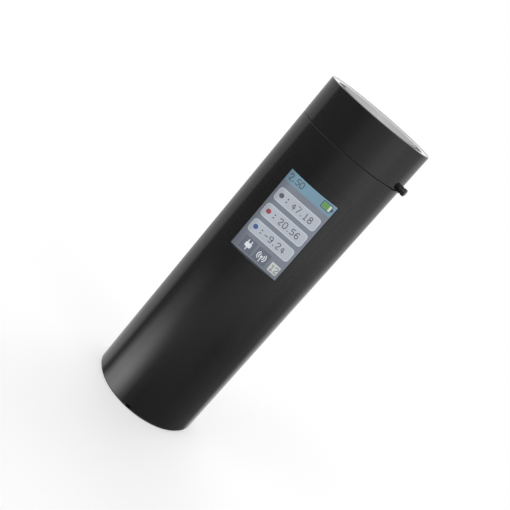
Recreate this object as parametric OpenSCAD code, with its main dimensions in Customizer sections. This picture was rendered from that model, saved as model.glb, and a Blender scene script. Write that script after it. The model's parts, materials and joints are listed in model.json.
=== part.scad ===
// Handheld tube colorimeter: a standing instrument with a screen in the wall, a
// measuring well in its foot and a push button in its head. The origin is the
// centre of the foot, +Z runs up the tube and the screen faces -Y.

/* [Housing] */
// Outer diameter of the tube and of the head above it
body_d = 50; // [49:0.5:56]
// Height from the cap's foot to the rim of the head
total_h = 157.6; // [154:0.2:175]
// Wall thickness of the tube
wall = 2; // [1.8:0.1:2.4]
// Height of the head above the seam
head_h = 17.3; // [16.8:0.1:19]
// Open width of the seam between tube and head
seam_gap = 0.4; // [0.2:0.1:0.6]
// Length of the head's spigot inside the tube, below the seam
spigot_h = 10.3; // [10:0.1:12]
// Thickness of the spigot's wall
spigot_t = 2.45; // [2:0.05:2.8]
// Chamfer on the tube's lower edge
foot_chamfer = 0.25; // [0.1:0.05:0.4]
// Chamfer on the head's upper edge
lip_chamfer = 0.2; // [0.1:0.05:0.3]
// Width of the finger notch in the tube's lower edge
notch_w = 2.1; // [1.6:0.1:4]
// Height of the finger notch above the tube's lower edge
notch_h = 1.3; // [1:0.1:3]

/* [Fits] */
// Radial gap between pieces that are fixed in each other
fit_gap = 0.05; // [0.03:0.01:0.1]
// Radial gap between a moving piece and its guide
run_gap = 0.07; // [0.04:0.01:0.1]
// Gap between screws and the holes that they pass
screw_gap = 0.15; // [0.1:0.05:0.3]

/* [Screen] */
// Width of the surround at each side of the screen
screen_side = 3.8; // [3.6:0.1:4.4]
// Height of the lit screen
screen_h = 38.4; // [36:0.1:40]
// Distance from the seam down to the middle of the screen
screen_drop = 37.05; // [36.8:0.05:38]
// Width of the flush surround, straight across, as a share of the body's diameter
bezel_share = 0.616; // [0.6:0.004:0.64]
// Height of the flush surround
bezel_h = 47.1; // [46:0.1:48]
// Corner radius of the surround
bezel_r = 2.6; // [2:0.1:4]
// Gap around the surround in the tube
bezel_gap = 0.06; // [0.05:0.01:0.15]
// Depth from the tube's bore to the surround's flat back
bezel_back = 4; // [3.6:0.1:4.4]
// Reach of the surround's back below its face
bezel_foot = 5; // [4.5:0.1:6]
// Reach of the surround's back above its face
bezel_head = 0.9; // [0.6:0.1:1.2]
// Thickness of the screen's cover glass
glass_t = 0.8; // [0.6:0.1:1]
// Height of the display's driver edge below the lit area
driver_h = 3; // [2:0.1:3.2]
// Thickness of the plate that clamps the display
bracket_t = 1.2; // [1:0.1:2]

/* [Measuring end] */
// Thickness of the calibration cap's flange
cap_flange_t = 0.6; // [0.5:0.1:1]
// Step of the cap's flange inside the tube's outer surface
cap_step = 0.55; // [0.3:0.05:0.8]
// Height of the cap's plug above the flange
cap_plug_h = 7.5; // [7:0.1:8]
// Thickness of the plug's wall
cap_wall = 3.4; // [3:0.1:3.8]
// Thickness of the cap's floor under the tile's pad
cap_floor_t = 1.6; // [1.2:0.1:2]
// Thickness of the pad under the tile
pad_t = 1; // [0.6:0.1:1.4]
// Thickness of the white tile
tile_t = 4; // [3:0.1:4.4]
// Section diameter of the cap's sealing ring
seal_d = 1.6; // [1.2:0.1:1.8]
// Wall between the tube's bore and the measuring well
well_wall = 6; // [5.5:0.1:6.5]
// Width of the ledge that carries the window
ledge_w = 0.8; // [0.6:0.1:1.2]
// Thickness of that ledge
ledge_t = 1.5; // [1:0.1:2]
// Thickness of the well's window
window_t = 1.5; // [1:0.1:2]
// Thickness of the seal above the window
window_seal_t = 0.5; // [0.4:0.1:0.8]

/* [Optics] */
// Height of the optical block's disc
block_h = 5; // [4.6:0.1:5.4]
// Diameter of the light channels
channel_d = 3.2; // [2.4:0.1:3.4]
// Number of light channels and lamps
lamp_n = 12; // [6:3:12]
// Diameter of a lamp's dome
lamp_d = 2.4; // [1.8:0.1:2.6]
// Height of a lamp below its board
lamp_h = 1.3; // [1.1:0.1:1.5]
// Radial width of the lamp board
lamp_board_w = 7; // [6.6:0.1:7.2]
// Distance of the lamps from the lamp board's outer edge
lamp_inset = 3.15; // [2.9:0.05:3.4]
// Diameter of the lens as a share of the hub's
lens_share = 0.625; // [0.5:0.005:0.65]
// Thickness of the lens at its edge
lens_edge_t = 1.6; // [1.4:0.1:2]
// Radius of the lens's curved face
lens_curve_r = 16; // [12:0.5:24]
// Clear view through the block and the tube as a share of the lens's diameter
view_share = 0.75; // [0.7:0.01:0.8]
// Gap between the hub around the lens and the pillars beside it
hub_gap = 0.8; // [0.4:0.1:1.2]
// Height of the hub above the block's disc
hub_h = 5; // [4:0.1:6]
// Depth of the lens's seat below the top of the hub
lens_seat = 7; // [6:0.1:7.4]
// Length of the sensor tube above the hub
sensor_tube_h = 14; // [12:0.1:15]
// Spacing of the rings inside the sensor tube
baffle_pitch = 4; // [3:0.1:5]
// Opening of the rings inside the sensor tube as a share of the lens's diameter
baffle_share = 0.5; // [0.4:0.01:0.6]
// Side of the square colour sensor as a share of the lens's diameter
sensor_share = 0.4; // [0.25:0.01:0.42]
// Height of the colour sensor
sensor_t = 1.1; // [0.8:0.1:1.4]

/* [Inner frame] */
// Height of the pillars between the optical block and the lower plate
pillar_h = 24.4; // [24:0.1:28]
// Width of a pillar across its corners
pillar_d = 5; // [4:0.1:5]
// Gap between the pillars and the lamp board's inner edge
pillar_gap = 0.4; // [0.3:0.1:0.6]
// Thickness of the two round plates
plate_t = 2; // [1.6:0.1:2.4]
// Gap between the round plates and the tube's bore
plate_gap = 0.2; // [0.1:0.05:0.4]
// Distance of the chassis's edges from the tube's bore, along the middle
chassis_gap = 3; // [2.5:0.1:4]
// Thickness of the chassis sheet
chassis_t = 1.5; // [1.2:0.1:2]
// Place of the chassis sheet's front face, behind the axis
chassis_y = 1; // [0.6:0.1:1.4]
// Depth of the chassis's side rails in front of the sheet
rail_h = 5; // [4:0.1:6]
// Depth of the chassis's screwed feet
foot_l = 8; // [7:0.1:9]
// Width of the chassis's screwed feet
foot_w = 26; // [22:0.5:28]

/* [Power] */
// Gap between the battery cell and the tube's bore
cell_clear = 0.45; // [0.3:0.05:0.8]
// Room above the charging socket
usb_room = 4; // [3.5:0.1:6]
// Gap between the cell and its cradle
cell_gap = 0.25; // [0.2:0.05:0.4]
// Wall of the battery cradle
cradle_t = 1.5; // [1.2:0.1:1.8]
// Room for a contact at each end of the cell
contact_room = 1.8; // [1.6:0.1:2.4]
// Height of the cradle above the lower plate
cradle_up = 0.8; // [0.5:0.1:2]
// Height of the charging board above the cradle
usb_up = 0.8; // [0.5:0.1:2]
// Width of the charging socket
usb_w = 8.9; // [8.9:0.1:9]
// Height of the charging socket
usb_h = 3.2; // [3.2:0.1:3.3]
// Depth of the charging socket
usb_l = 7.3; // [7:0.1:7.6]
// Thickness of the charging socket's metal shell
usb_shell = 0.3; // [0.2:0.05:0.4]
// Margin of the socket's opening in the tube
usb_margin = 0.35; // [0.2:0.05:0.6]

/* [Boards] */
// Thickness of the circuit boards
pcb_t = 1.6; // [1.2:0.1:1.6]
// Thickness of the lamp board
lamp_pcb_t = 1.2; // [1:0.1:1.4]
// Gap between the main board's edges and the chassis's rails
main_gap = 1.5; // [1:0.1:2]
// Room above and below the main board
main_room = 4; // [3:0.1:6]
// Height of the bosses that carry the main board
boss_h = 2.4; // [2:0.1:3]
// Diameter of those bosses
boss_d = 5; // [4:0.1:6]
// Gap between the button board and the head's spigot
button_board_gap = 1.05; // [0.8:0.05:1.5]
// Height of the side-entry and top-entry switches
switch_h = 3.4; // [3.2:0.1:3.6]
// Side of the switches
switch_w = 6; // [5.6:0.1:6.4]
// Thickness of the flat ribbons
ribbon_t = 0.3; // [0.2:0.05:0.4]

/* [Button] */
// Radial width of the dark ring around the button
guide_w = 2.85; // [2.6:0.05:3.2]
// Thickness of the button's disc
button_t = 3; // [2.6:0.1:3.4]
// Drop of the button's face below the head's rim
button_drop = 0.2; // [0:0.05:0.4]
// Height of the button's skirt below its disc
skirt_h = 2.6; // [2:0.1:3]
// Thickness of the button's skirt
skirt_t = 1.6; // [1.2:0.1:2]
// Diameter of the button's stem
stem_d = 6; // [5:0.1:7]
// Travel of the button
button_travel = 0.8; // [0.5:0.1:0.9]
// Diameter of the boss that guides the stem
guide_boss_d = 11; // [10:0.1:12]
// Height of the carrier above the seam
carrier_up = 5.7; // [5.6:0.1:6]
// Thickness of the carrier
carrier_t = 2; // [1.8:0.1:2.4]
// Distance of the dark ring from the head's outer surface
rim_w = 3.5; // [3.2:0.05:4]
// Drop of the dark ring below the head's rim
guide_drop = 0.7; // [0.4:0.1:1.2]
// Thickness of the bright ring
rim_t = 1.9; // [1.5:0.1:2.4]
// Drop of the bright ring below the head's rim
rim_drop = 0.25; // [0:0.05:0.4]
// Width of the thin lip outside the bright ring
lip_w = 0.55; // [0.45:0.05:0.8]
// Mean diameter of the return spring
spring_d = 16; // [15:0.1:18]
// Wire diameter of the return spring
wire_d = 0.9; // [0.7:0.05:1]
// Number of turns of the return spring
spring_turns = 3; // [2:1:3]
// Thickness of the clip on the stem
clip_t = 0.8; // [0.6:0.1:1]

/* [Side key] */
// Direction of the side key, turned from +X
key_angle = -15; // [-20:1:20]
// Height of the side key's axis above the seam
key_up = 1.35; // [1.2:0.05:3]
// Height of the side key's axis above the button board
key_rise = 3.25; // [3.1:0.05:4]
// Diameter of the side key
key_d = 3.3; // [3:0.1:4]
// Length of the side key outside the tube
key_out = 3.3; // [2:0.1:4]
// Radial gap between the side key and its hole in the outer wall
key_hole_gap = 0.4; // [0.2:0.05:0.5]
// Rounding of the side key's outer edge
key_round = 0.4; // [0.2:0.05:0.8]
// Travel of the side key
key_travel = 0.5; // [0.3:0.05:0.6]
// Diameter of the collar that keeps the key in
collar_d = 5.8; // [5.4:0.1:6]
// Thickness of that collar
collar_t = 0.9; // [0.8:0.05:1]

/* [Hidden] */
$fn = 96;
R = body_d / 2;
Ri = R - wall;
eps = 0.01;
far = 2 * body_d;

// Radii of the lamps, the pillars between them and the hub, and the hub, from outside in
lamp_board_r = Ri - plate_gap;
lamp_r = lamp_board_r - lamp_inset;
pillar_r = lamp_board_r - lamp_board_w - pillar_gap - pillar_d / 2;
hub_r = pillar_r - pillar_d / 2 - hub_gap;
lens_d = 2 * hub_r * lens_share;
view_d = lens_d * view_share;
baffle_d = lens_d * baffle_share;
sensor_w = lens_d * sensor_share;

// Heights in the measuring end: the lamps look at the rim's middle at 45 degrees, so they
// stand as high above the rim as they are far from the axis
z_rim = cap_flange_t;
z_disc = z_rim + lamp_r - lamp_h / 2;
z_block = z_disc - block_h;
z_seat = z_block - window_t - window_seal_t;
z_hub = z_disc + hub_h;
z_lens = z_hub - lens_seat;
z_sensor = z_hub + sensor_tube_h;
z_lower = z_disc + pillar_h;
z_cabin = z_lower + plate_t;

// Heights around the seam and in the head
z_seam_top = total_h - head_h;
z_seam = z_seam_top - seam_gap;
z_upper = z_seam_top - spigot_h;
z_cabin_top = z_upper - plate_t;
key_z = z_seam_top + key_up;
z_board_top = key_z - key_rise;
z_board = z_board_top - pcb_t;
z_carrier = z_seam_top + carrier_up;
z_carrier_top = z_carrier + carrier_t;
z_rim_ring = total_h - rim_drop - rim_t;
z_button = total_h - button_drop;
z_disc_under = z_button - button_t;
z_clip_top = z_carrier - fit_gap;

// Screen sizes and places
bezel_w = bezel_share * body_d;
screen_w = bezel_w - 2 * screen_side;
screen_z = z_seam - screen_drop + seam_gap;
screen_y = sqrt(R * R - screen_w * screen_w / 4);
back_y = Ri - bezel_back;
z_bezel_low = screen_z - bezel_h / 2 - bezel_foot;
z_bezel_high = screen_z + bezel_h / 2 + bezel_head;
back_w = 2 * sqrt(pow(Ri - plate_gap, 2) - back_y * back_y) - 2 * plate_gap;
bracket_margin = 0.5;

// Radii in the measuring end
well_r = Ri - well_wall;
plug_r = well_r - run_gap;
cup_r = plug_r - cap_wall;
window_r = well_r + 0.4;

// Screws: shank diameter, head diameter, head height
m2 = [2, 3.6, 1.2];
m25 = [2.5, 4.5, 1.6];
screw_bite = 5;
optic_screw_r = lamp_board_r - m2[1] / 2 - 1.1;
pillar_angles = [30, 150, 270];
optic_screw_angles = [for (k = [0:2]) 105 + 120 * k];
led_boss_angles = [for (k = [0:2]) 45 + 120 * k];
led_boss_d = 3.4;
chassis_screw_x = 8;
chassis_screw_y = chassis_y - foot_l * 0.55;
spacer_angles = [40, 160, 240];
button_board_d = body_d - 2 * (wall + spigot_t + button_board_gap);
spacer_r = button_board_d / 2 - 4;
spacer_d = 5;
bracket_screw_x = 8.5;
bracket_screws_z = [z_bezel_low + bezel_foot / 2, screen_z + screen_h / 2 + 2.4];

// Inner sizes and places
guide_ring_d = body_d - 2 * rim_w;
button_d = guide_ring_d - 2 * guide_w;
chassis_w = 2 * (Ri - chassis_gap);
main_w = chassis_w - 2 * (chassis_t + main_gap);
main_h = z_cabin_top - z_cabin - 2 * main_room;
cell_d = Ri - cell_clear - chassis_y - chassis_t - cradle_t - cell_gap;
cell_l = z_cabin_top - usb_room - usb_h - pcb_t - usb_up - z_cabin - cradle_up
    - 2 * (contact_room + cradle_t);
cell_y = chassis_y + chassis_t + cradle_t + cell_gap + cell_d / 2;
z_cradle = z_cabin + cradle_up;
cradle_l = cell_l + 2 * contact_room + 2 * cradle_t;
z_cell = z_cradle + cradle_t + contact_room;
z_usb_board = z_cradle + cradle_l + usb_up;
z_usb = z_usb_board + pcb_t;
board_y = chassis_y - boss_h;
z_main = z_cabin + (z_cabin_top - z_cabin - main_h) / 2;
main_screw_x = main_w / 2 - 3;
main_screws_z = [z_main + 3.5, z_main + main_h - 3.5];

// Narrow ribbons: width, offset to the side, and place of the slots that they pass
ribbon_w = 5;
ribbon_x = 6;
ribbon_inset = 7;
ribbon_slot_y = ribbon_inset - Ri;
wide_ribbon_w = 14;
ribbon_plug_y = board_y - pcb_t - 1;
socket_w = 9;
socket_h = 4;

// Side key: distances from the axis
shell_in_r = R - wall - spigot_t;
bore_step = 1.5;
collar_out = sqrt(pow(shell_in_r, 2) - pow(collar_d / 2, 2)) - 0.1;
key_inner = collar_out - collar_t - 1.7;
key_tip = 2;
key_switch_l = 4;
key_switch_front = key_inner - 1.1;
key_plunger_in = 1.4;
key_stem_r = 1.1;
key_groove_at = R + 1.2;
key_groove_w = 0.45;
key_groove_t = 0.25;
key_end = R + key_out;

// Rounded rectangle about the origin
module rounded_rect(w, h, r) {
    square([w, h - 2 * r], center = true);
    square([w - 2 * r, h], center = true);
    for (sx = [-1, 1], sy = [-1, 1])
        translate([sx * (w / 2 - r), sy * (h / 2 - r)]) circle(r = r);
}

// Solid of revolution from an outline of radius and height
module turned(outline) {
    rotate_extrude() polygon(outline);
}

// Flat ring or disc
module ring(ro, ri, z, h) {
    translate([0, 0, z]) difference() {
        cylinder(r = ro, h = h);
        if (ri > 0) translate([0, 0, -1]) cylinder(r = ri, h = h + 2);
    }
}

// Places the children at several angles around the axis
module around(angles, r) {
    for (a = angles) rotate([0, 0, a]) translate([r, 0, 0]) children();
}

// Prism behind the screen side, seen straight on, from y = -from to y = -to
module facing(from, to, z) {
    translate([0, -from, z]) rotate([90, 0, 0]) linear_extrude(height = to - from) children();
}

// Pan-head screw that points down from z = 0, with a hexagon socket
module screw(size, length) {
    difference() {
        union() {
            cylinder(d = size[1], h = size[2]);
            translate([0, 0, -length]) cylinder(d = size[0], h = length + eps);
        }
        translate([0, 0, size[2] * 0.4]) cylinder(d = size[0] * 0.75, h = size[2], $fn = 6);
    }
}

// Turns the children so that +Z points along the side key and +X points down
module along_key() {
    rotate([0, 0, key_angle]) translate([0, 0, key_z]) rotate([0, 90, 0]) children();
}

// Flat ribbon across X that follows a path of [y, z] points
function unit(v) = v / norm(v);
function side(p, i) = let (d = unit(p[min(i + 1, len(p) - 1)] - p[max(i - 1, 0)])) [-d[1], d[0]];
function bow(a, b, c, d, n = 12) = [for (k = [0:n]) let (t = k / n, s = 1 - t)
    s * s * s * a + 3 * s * s * t * b + 3 * s * t * t * c + t * t * t * d];
module ribbon(path, w) {
    edge = [for (i = [0:len(path) - 1]) path[i] + side(path, i) * ribbon_t / 2];
    back = [for (i = [len(path) - 1:-1:0]) path[i] - side(path, i) * ribbon_t / 2];
    translate([-w / 2, 0, 0]) rotate([90, 0, 90]) linear_extrude(height = w)
        polygon(concat(edge, back));
}

// Cap with a thin flange and a hollow plug that carries the white tile
module calibration_cap() color([0.05, 0.05, 0.055]) difference() {
    turned([[0, 0], [R - cap_step - 0.15, 0], [R - cap_step, 0.15], [R - cap_step, cap_flange_t],
        [plug_r, cap_flange_t], [plug_r, z_rim + cap_plug_h - 0.5],
        [plug_r - 0.5, z_rim + cap_plug_h], [cup_r, z_rim + cap_plug_h],
        [cup_r, cap_floor_t], [0, cap_floor_t]]);
    translate([0, 0, z_rim + cap_plug_h / 2]) rotate_extrude()
        translate([plug_r - seal_d / 2 + run_gap / 2, 0]) square(seal_d + 0.1, center = true);
}

module tile_pad() color([0.16, 0.16, 0.17])
    ring(cup_r - 0.4, 0, cap_floor_t, pad_t);

module white_tile() color([0.95, 0.95, 0.93])
    translate([0, 0, cap_floor_t + pad_t]) turned([[0, 0], [cup_r - 0.5, 0],
        [cup_r - 0.2, 0.3], [cup_r - 0.2, tile_t - 0.3], [cup_r - 0.5, tile_t], [0, tile_t]]);

module cap_seal() color([0.08, 0.08, 0.08])
    translate([0, 0, z_rim + cap_plug_h / 2]) rotate_extrude()
        translate([plug_r - seal_d / 2 + run_gap / 2, 0]) circle(d = seal_d, $fn = 32);

// Outer tube with the screen's opening, the charging slot and the finger notch
module body_tube() color([0.13, 0.13, 0.14]) difference() {
    turned([[Ri, z_rim], [R - foot_chamfer, z_rim], [R, z_rim + foot_chamfer],
        [R, z_seam - 0.08], [R - 0.08, z_seam], [Ri, z_seam]]);
    facing(0, far, screen_z)
        rounded_rect(bezel_w + 2 * bezel_gap, bezel_h + 2 * bezel_gap, bezel_r + bezel_gap);
    translate([-notch_w / 2, -far, z_rim - 1]) cube([notch_w, far, notch_h + 1]);
    along_key() translate([0, 0, Ri - 1]) cylinder(d = key_d + 2 * key_hole_gap, h = wall + 2);
    translate([0, far, z_usb + usb_h / 2]) rotate([90, 0, 0]) linear_extrude(height = far)
        stadium(usb_w + 2 * usb_margin, usb_h + 2 * usb_margin);
}

// Slot outline with round ends
module stadium(w, h) {
    square([w - h, h], center = true);
    for (s = [-1, 1]) translate([s * (w - h) / 2, 0]) circle(d = h);
}

// Turned sleeve in the tube's foot: well, window ledge and seat
module port_sleeve() color([0.07, 0.07, 0.07]) difference() {
    turned([[well_r + 0.4, z_rim], [Ri - fit_gap, z_rim], [Ri - fit_gap, z_block],
        [window_r + fit_gap, z_block], [window_r + fit_gap, z_seat],
        [well_r - ledge_w, z_seat], [well_r - ledge_w, z_seat - ledge_t],
        [well_r, z_seat - ledge_t], [well_r, z_rim + 0.4]]);
    around(optic_screw_angles, optic_screw_r)
        translate([0, 0, z_block - screw_bite]) cylinder(d = m2[0] + 0.02, h = screw_bite + 1, $fn = 32);
}

module port_window() color([0.75, 0.85, 0.88, 0.5])
    ring(window_r, 0, z_seat, window_t);

module window_seal() color([0.1, 0.1, 0.1])
    ring(window_r, well_r - ledge_w, z_seat + window_t, window_seal_t);

// One light channel, aimed at 45 degrees at the middle of the rim
module light_channel(d) {
    translate([0, 0, z_rim]) rotate([0, 45, 0]) cylinder(d = d, h = far, $fn = 48);
}

// Optical block: disc with a ring of slanted channels and a hub for the lens
module optical_block() color([0.2, 0.2, 0.21]) difference() {
    union() {
        turned([[0, z_block], [lamp_board_r, z_block], [lamp_board_r, z_disc], [hub_r, z_disc],
            [hub_r, z_hub - 0.4], [hub_r - 0.4, z_hub], [0, z_hub]]);
        around(led_boss_angles, lamp_r)
            translate([0, 0, z_block]) cylinder(d = led_boss_d, h = block_h + lamp_h, $fn = 32);
    }
    translate([0, 0, z_block - 1]) cylinder(d = view_d, h = far);
    translate([0, 0, z_lens]) cylinder(d = lens_d + 2 * fit_gap, h = far);
    intersection() {
        ring(lamp_board_r, hub_r - 0.4, z_block - 1, block_h + 1 + eps);
        for (k = [0:lamp_n - 1]) rotate([0, 0, 360 * k / lamp_n]) light_channel(channel_d);
    }
    around(optic_screw_angles, optic_screw_r)
        translate([0, 0, z_block - 1]) cylinder(d = m2[0] + 2 * screw_gap, h = far, $fn = 32);
    around(led_boss_angles, lamp_r)
        translate([0, 0, z_disc - 2]) cylinder(d = m2[0] + 0.02, h = far, $fn = 32);
}

module optic_screws() color([0.7, 0.7, 0.72])
    around(optic_screw_angles, optic_screw_r) translate([0, 0, z_disc])
        screw([m2[0], m2[1], lamp_h - 0.3], block_h + screw_bite - 0.5);

// Ring board that carries the lamps
module lamp_board() color([0.9, 0.9, 0.88]) difference() {
    ring(lamp_board_r, lamp_board_r - lamp_board_w, z_disc + lamp_h, lamp_pcb_t);
    around(led_boss_angles, lamp_r)
        translate([0, 0, z_disc]) cylinder(d = m2[0] + 2 * screw_gap, h = far, $fn = 32);
    translate([-3, lamp_board_r - 1.5, z_disc]) cube([6, 4, 10]);
}

module lamps() color([0.95, 0.9, 0.6])
    for (k = [0:lamp_n - 1]) rotate([0, 0, 360 * k / lamp_n])
        translate([lamp_r, 0, z_disc + lamp_h]) rotate([180, 0, 0]) {
            translate([-lamp_d / 2, -lamp_d / 2, 0]) cube([lamp_d, lamp_d, lamp_h * 0.4]);
            translate([0, 0, lamp_h * 0.4 - eps]) turned([[0, 0], [lamp_d * 0.42, 0],
                [lamp_d * 0.38, lamp_h * 0.2], [lamp_d * 0.22, lamp_h * 0.38], [0, lamp_h * 0.45]]);
        }

module lamp_screws() color([0.7, 0.7, 0.72])
    around(led_boss_angles, lamp_r) translate([0, 0, z_disc + lamp_h + lamp_pcb_t])
        screw(m2, lamp_h + lamp_pcb_t + 1.6);

// Lens with one flat and one curved face
module objective_lens() color([0.8, 0.88, 0.9, 0.5]) {
    sag = lens_curve_r - sqrt(pow(lens_curve_r, 2) - pow(lens_d / 2, 2));
    translate([0, 0, z_lens]) intersection() {
        cylinder(d = lens_d, h = lens_edge_t + sag);
        translate([0, 0, lens_edge_t + sag - lens_curve_r]) sphere(r = lens_curve_r);
    }
}

// Sensor tube: spigot on the lens, flange on the hub and rings that stop stray light
module sensor_tube() color([0.12, 0.12, 0.12]) {
    r_in = view_d / 2;
    r_out = lens_d / 2;
    difference() {
        turned([[r_in, z_lens + lens_edge_t + 1.4], [r_out, z_lens + lens_edge_t + 1.4],
            [r_out, z_hub], [hub_r, z_hub], [hub_r, z_hub + 1.5], [r_out + 0.6, z_hub + 1.5],
            [r_out + 0.6, z_sensor - 1.5], [hub_r, z_sensor - 1.5], [hub_r, z_sensor],
            [r_in, z_sensor]]);
        translate([0, 0, z_sensor - sensor_t - 0.3]) cylinder(d = view_d, h = 5);
    }
    for (z = [z_hub + 2:baffle_pitch:z_sensor - sensor_t - 1.5])
        turned([[baffle_d / 2, z], [r_in + 0.1, z - 0.5], [r_in + 0.1, z + 0.5]]);
}

module sensor_board() color([0.1, 0.35, 0.18]) difference() {
    ring(hub_r, 0, z_sensor, pcb_t);
    translate([-3, hub_r - 1.2, z_sensor - 1]) cube([6, 4, pcb_t + 2]);
}

module colour_sensor() color([0.05, 0.05, 0.06])
    translate([0, 0, z_sensor - sensor_t / 2])
        cube([sensor_w, sensor_w, sensor_t], center = true);

// Hexagonal pillars between the optical block and the lower plate
module pillars() color([0.78, 0.66, 0.35])
    around(pillar_angles, pillar_r) translate([0, 0, z_disc]) difference() {
        cylinder(d = pillar_d, h = pillar_h, $fn = 6);
        translate([0, 0, pillar_h - 7]) cylinder(d = m25[0] + 0.02, h = 8, $fn = 32);
    }

module pillar_screws() color([0.7, 0.7, 0.72])
    around(pillar_angles, pillar_r) translate([0, 0, z_cabin])
        screw([m25[0], m25[1], cradle_up + 0.5], plate_t + screw_bite);

// Round plate with the holes that its screws and ribbons pass
module round_plate(z, screw_angles, screw_r, screw_size) difference() {
    ring(Ri - plate_gap, 0, z, plate_t);
    around(screw_angles, screw_r) translate([0, 0, z - 1])
        cylinder(d = screw_size[0] + 2 * screw_gap, h = plate_t + 2, $fn = 32);
    for (s = [-1, 1]) translate([s * chassis_screw_x, chassis_screw_y, z - 1])
        cylinder(d = m2[0] + 2 * screw_gap, h = plate_t + 2, $fn = 32);
    translate([ribbon_x, ribbon_slot_y, z - 1]) linear_extrude(height = plate_t + 2)
        stadium(ribbon_w + 2, 3);
}

module lower_plate() color([0.6, 0.6, 0.62])
    round_plate(z_lower, pillar_angles, pillar_r, m25);

module upper_plate() color([0.6, 0.6, 0.62])
    round_plate(z_upper - plate_t, spacer_angles, spacer_r, m25);

// Folded sheet between the two round plates
module chassis() color([0.66, 0.66, 0.68]) difference() {
    span = z_cabin_top - z_cabin;
    union() {
        translate([-chassis_w / 2, chassis_y, z_cabin]) cube([chassis_w, chassis_t, span]);
        for (s = [-1, 1]) translate([s > 0 ? chassis_w / 2 - chassis_t : -chassis_w / 2,
            chassis_y - rail_h, z_cabin]) cube([chassis_t, rail_h + eps, span]);
        for (z = [z_cabin, z_cabin_top - chassis_t]) translate([-foot_w / 2, chassis_y - foot_l, z])
            cube([foot_w, foot_l + eps, chassis_t]);
        for (s = [-1, 1], z = main_screws_z) translate([s * main_screw_x, chassis_y + eps, z])
            rotate([90, 0, 0]) cylinder(d = boss_d, h = boss_h + eps, $fn = 48);
    }
    for (s = [-1, 1], z = main_screws_z) translate([s * main_screw_x, chassis_y + chassis_t + 1, z])
        rotate([90, 0, 0]) cylinder(d = m2[0] + 0.02, h = boss_h + chassis_t + 2, $fn = 32);
    for (s = [-1, 1], z = [z_cabin, z_cabin_top - chassis_t])
        translate([s * chassis_screw_x, chassis_screw_y, z - 1])
            cylinder(d = m2[0] + 0.02, h = chassis_t + 2, $fn = 32);
    for (k = [0:2]) translate([0, chassis_y + chassis_t + 1, z_cabin + span * (k + 0.5) / 3])
        rotate([90, 0, 0]) linear_extrude(height = chassis_t + 2)
            rounded_rect(chassis_w * 0.35, span / 3 - chassis_w / 4, 3);
}

// Screws through both round plates into the chassis feet
module chassis_screws() color([0.7, 0.7, 0.72]) for (s = [-1, 1]) {
    translate([s * chassis_screw_x, chassis_screw_y, z_upper])
        screw(m2, plate_t + chassis_t);
    translate([s * chassis_screw_x, chassis_screw_y, z_lower]) rotate([180, 0, 0])
        screw(m2, plate_t + chassis_t);
}

// Open trough with end walls for the round cell
module battery_cradle() color([0.1, 0.1, 0.11]) {
    r_in = cell_d / 2 + cell_gap;
    r_out = r_in + cradle_t;
    translate([0, cell_y, z_cradle]) difference() {
        intersection() {
            cylinder(r = r_out, h = cradle_l);
            translate([-far, -far, -1]) cube([2 * far, far + cell_d * 0.22, cradle_l + 2]);
        }
        translate([0, 0, cradle_t]) cylinder(r = r_in, h = cradle_l - 2 * cradle_t);
        for (k = [0:3]) translate([0, -cell_d * 0.2, cradle_l * (k + 0.5) / 4])
            rotate([0, 90, 0]) translate([0, 0, -far]) linear_extrude(height = 2 * far)
                rounded_rect(cradle_l / 4 - 5, cell_d * 0.35, 1.5);
    }
}

module battery_cell() color([0.12, 0.3, 0.6])
    translate([0, cell_y, z_cell]) turned([[0, 0], [cell_d / 2 - 0.8, 0], [cell_d / 2, 0.8],
        [cell_d / 2, cell_l - 2.8], [cell_d / 2 - 0.5, cell_l - 2.4], [cell_d / 2, cell_l - 2],
        [cell_d / 2 - 0.6, cell_l - 1], [3.6, cell_l - 1], [3.6, cell_l], [0, cell_l]]);

// Sprung contact plates at both ends of the cell
contact_w = 9;
contact_r = 3.4;
contact_t = 0.4;
module battery_contacts() color([0.8, 0.78, 0.72]) {
    for (end = [0, 1]) translate([0, cell_y, z_cell + end * cell_l]) mirror([0, 0, end == 0 ? 1 : 0]) {
        translate([0, 0, contact_room - contact_t]) linear_extrude(height = contact_t)
            rounded_rect(contact_w, contact_w, 1);
        turned([[0, 0], [contact_r * 0.7, 0], [contact_r, contact_room - contact_t + eps],
            [contact_r * 0.85, contact_room - contact_t + eps], [contact_r * 0.6, contact_t],
            [0, contact_t]]);
    }
}

// Main board with its mounting holes
module main_board() color([0.1, 0.35, 0.18]) difference() {
    translate([0, board_y, z_main + main_h / 2]) rotate([90, 0, 0])
        linear_extrude(height = pcb_t) rounded_rect(main_w, main_h, 1.5);
    for (s = [-1, 1], z = main_screws_z) translate([s * main_screw_x, board_y + 1, z])
        rotate([90, 0, 0]) cylinder(d = m2[0] + 2 * screw_gap, h = pcb_t + 2, $fn = 32);
}

module board_screws() color([0.7, 0.7, 0.72])
    for (s = [-1, 1], z = main_screws_z) translate([s * main_screw_x, board_y - pcb_t, z])
        rotate([90, 0, 0]) screw(m2, pcb_t + boss_h + chassis_t * 0.8);

// Block on the front of the main board, w by h, d deep
module on_board(x, z, w, h, d) {
    translate([x - w / 2, board_y - pcb_t - d, z - h / 2]) cube([w, d, h]);
}

// Chips on the main board: sides and heights, and their places along the board's height
chip_w = 12;
chip_t = 1.2;
chip_x = -4;
memory_w = 5;
memory_x = 9;
small_w = 2;
small_pitch = 4;
radio_w = 14;
radio_h = 12;
radio_x = -6;
lid_w = 12;
lid_h = 8.6;
lid_t = 2.2;
chip_share = 0.57;
small_share = 0.42;
radio_share = 0.79;
display_share = 0.27;

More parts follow.
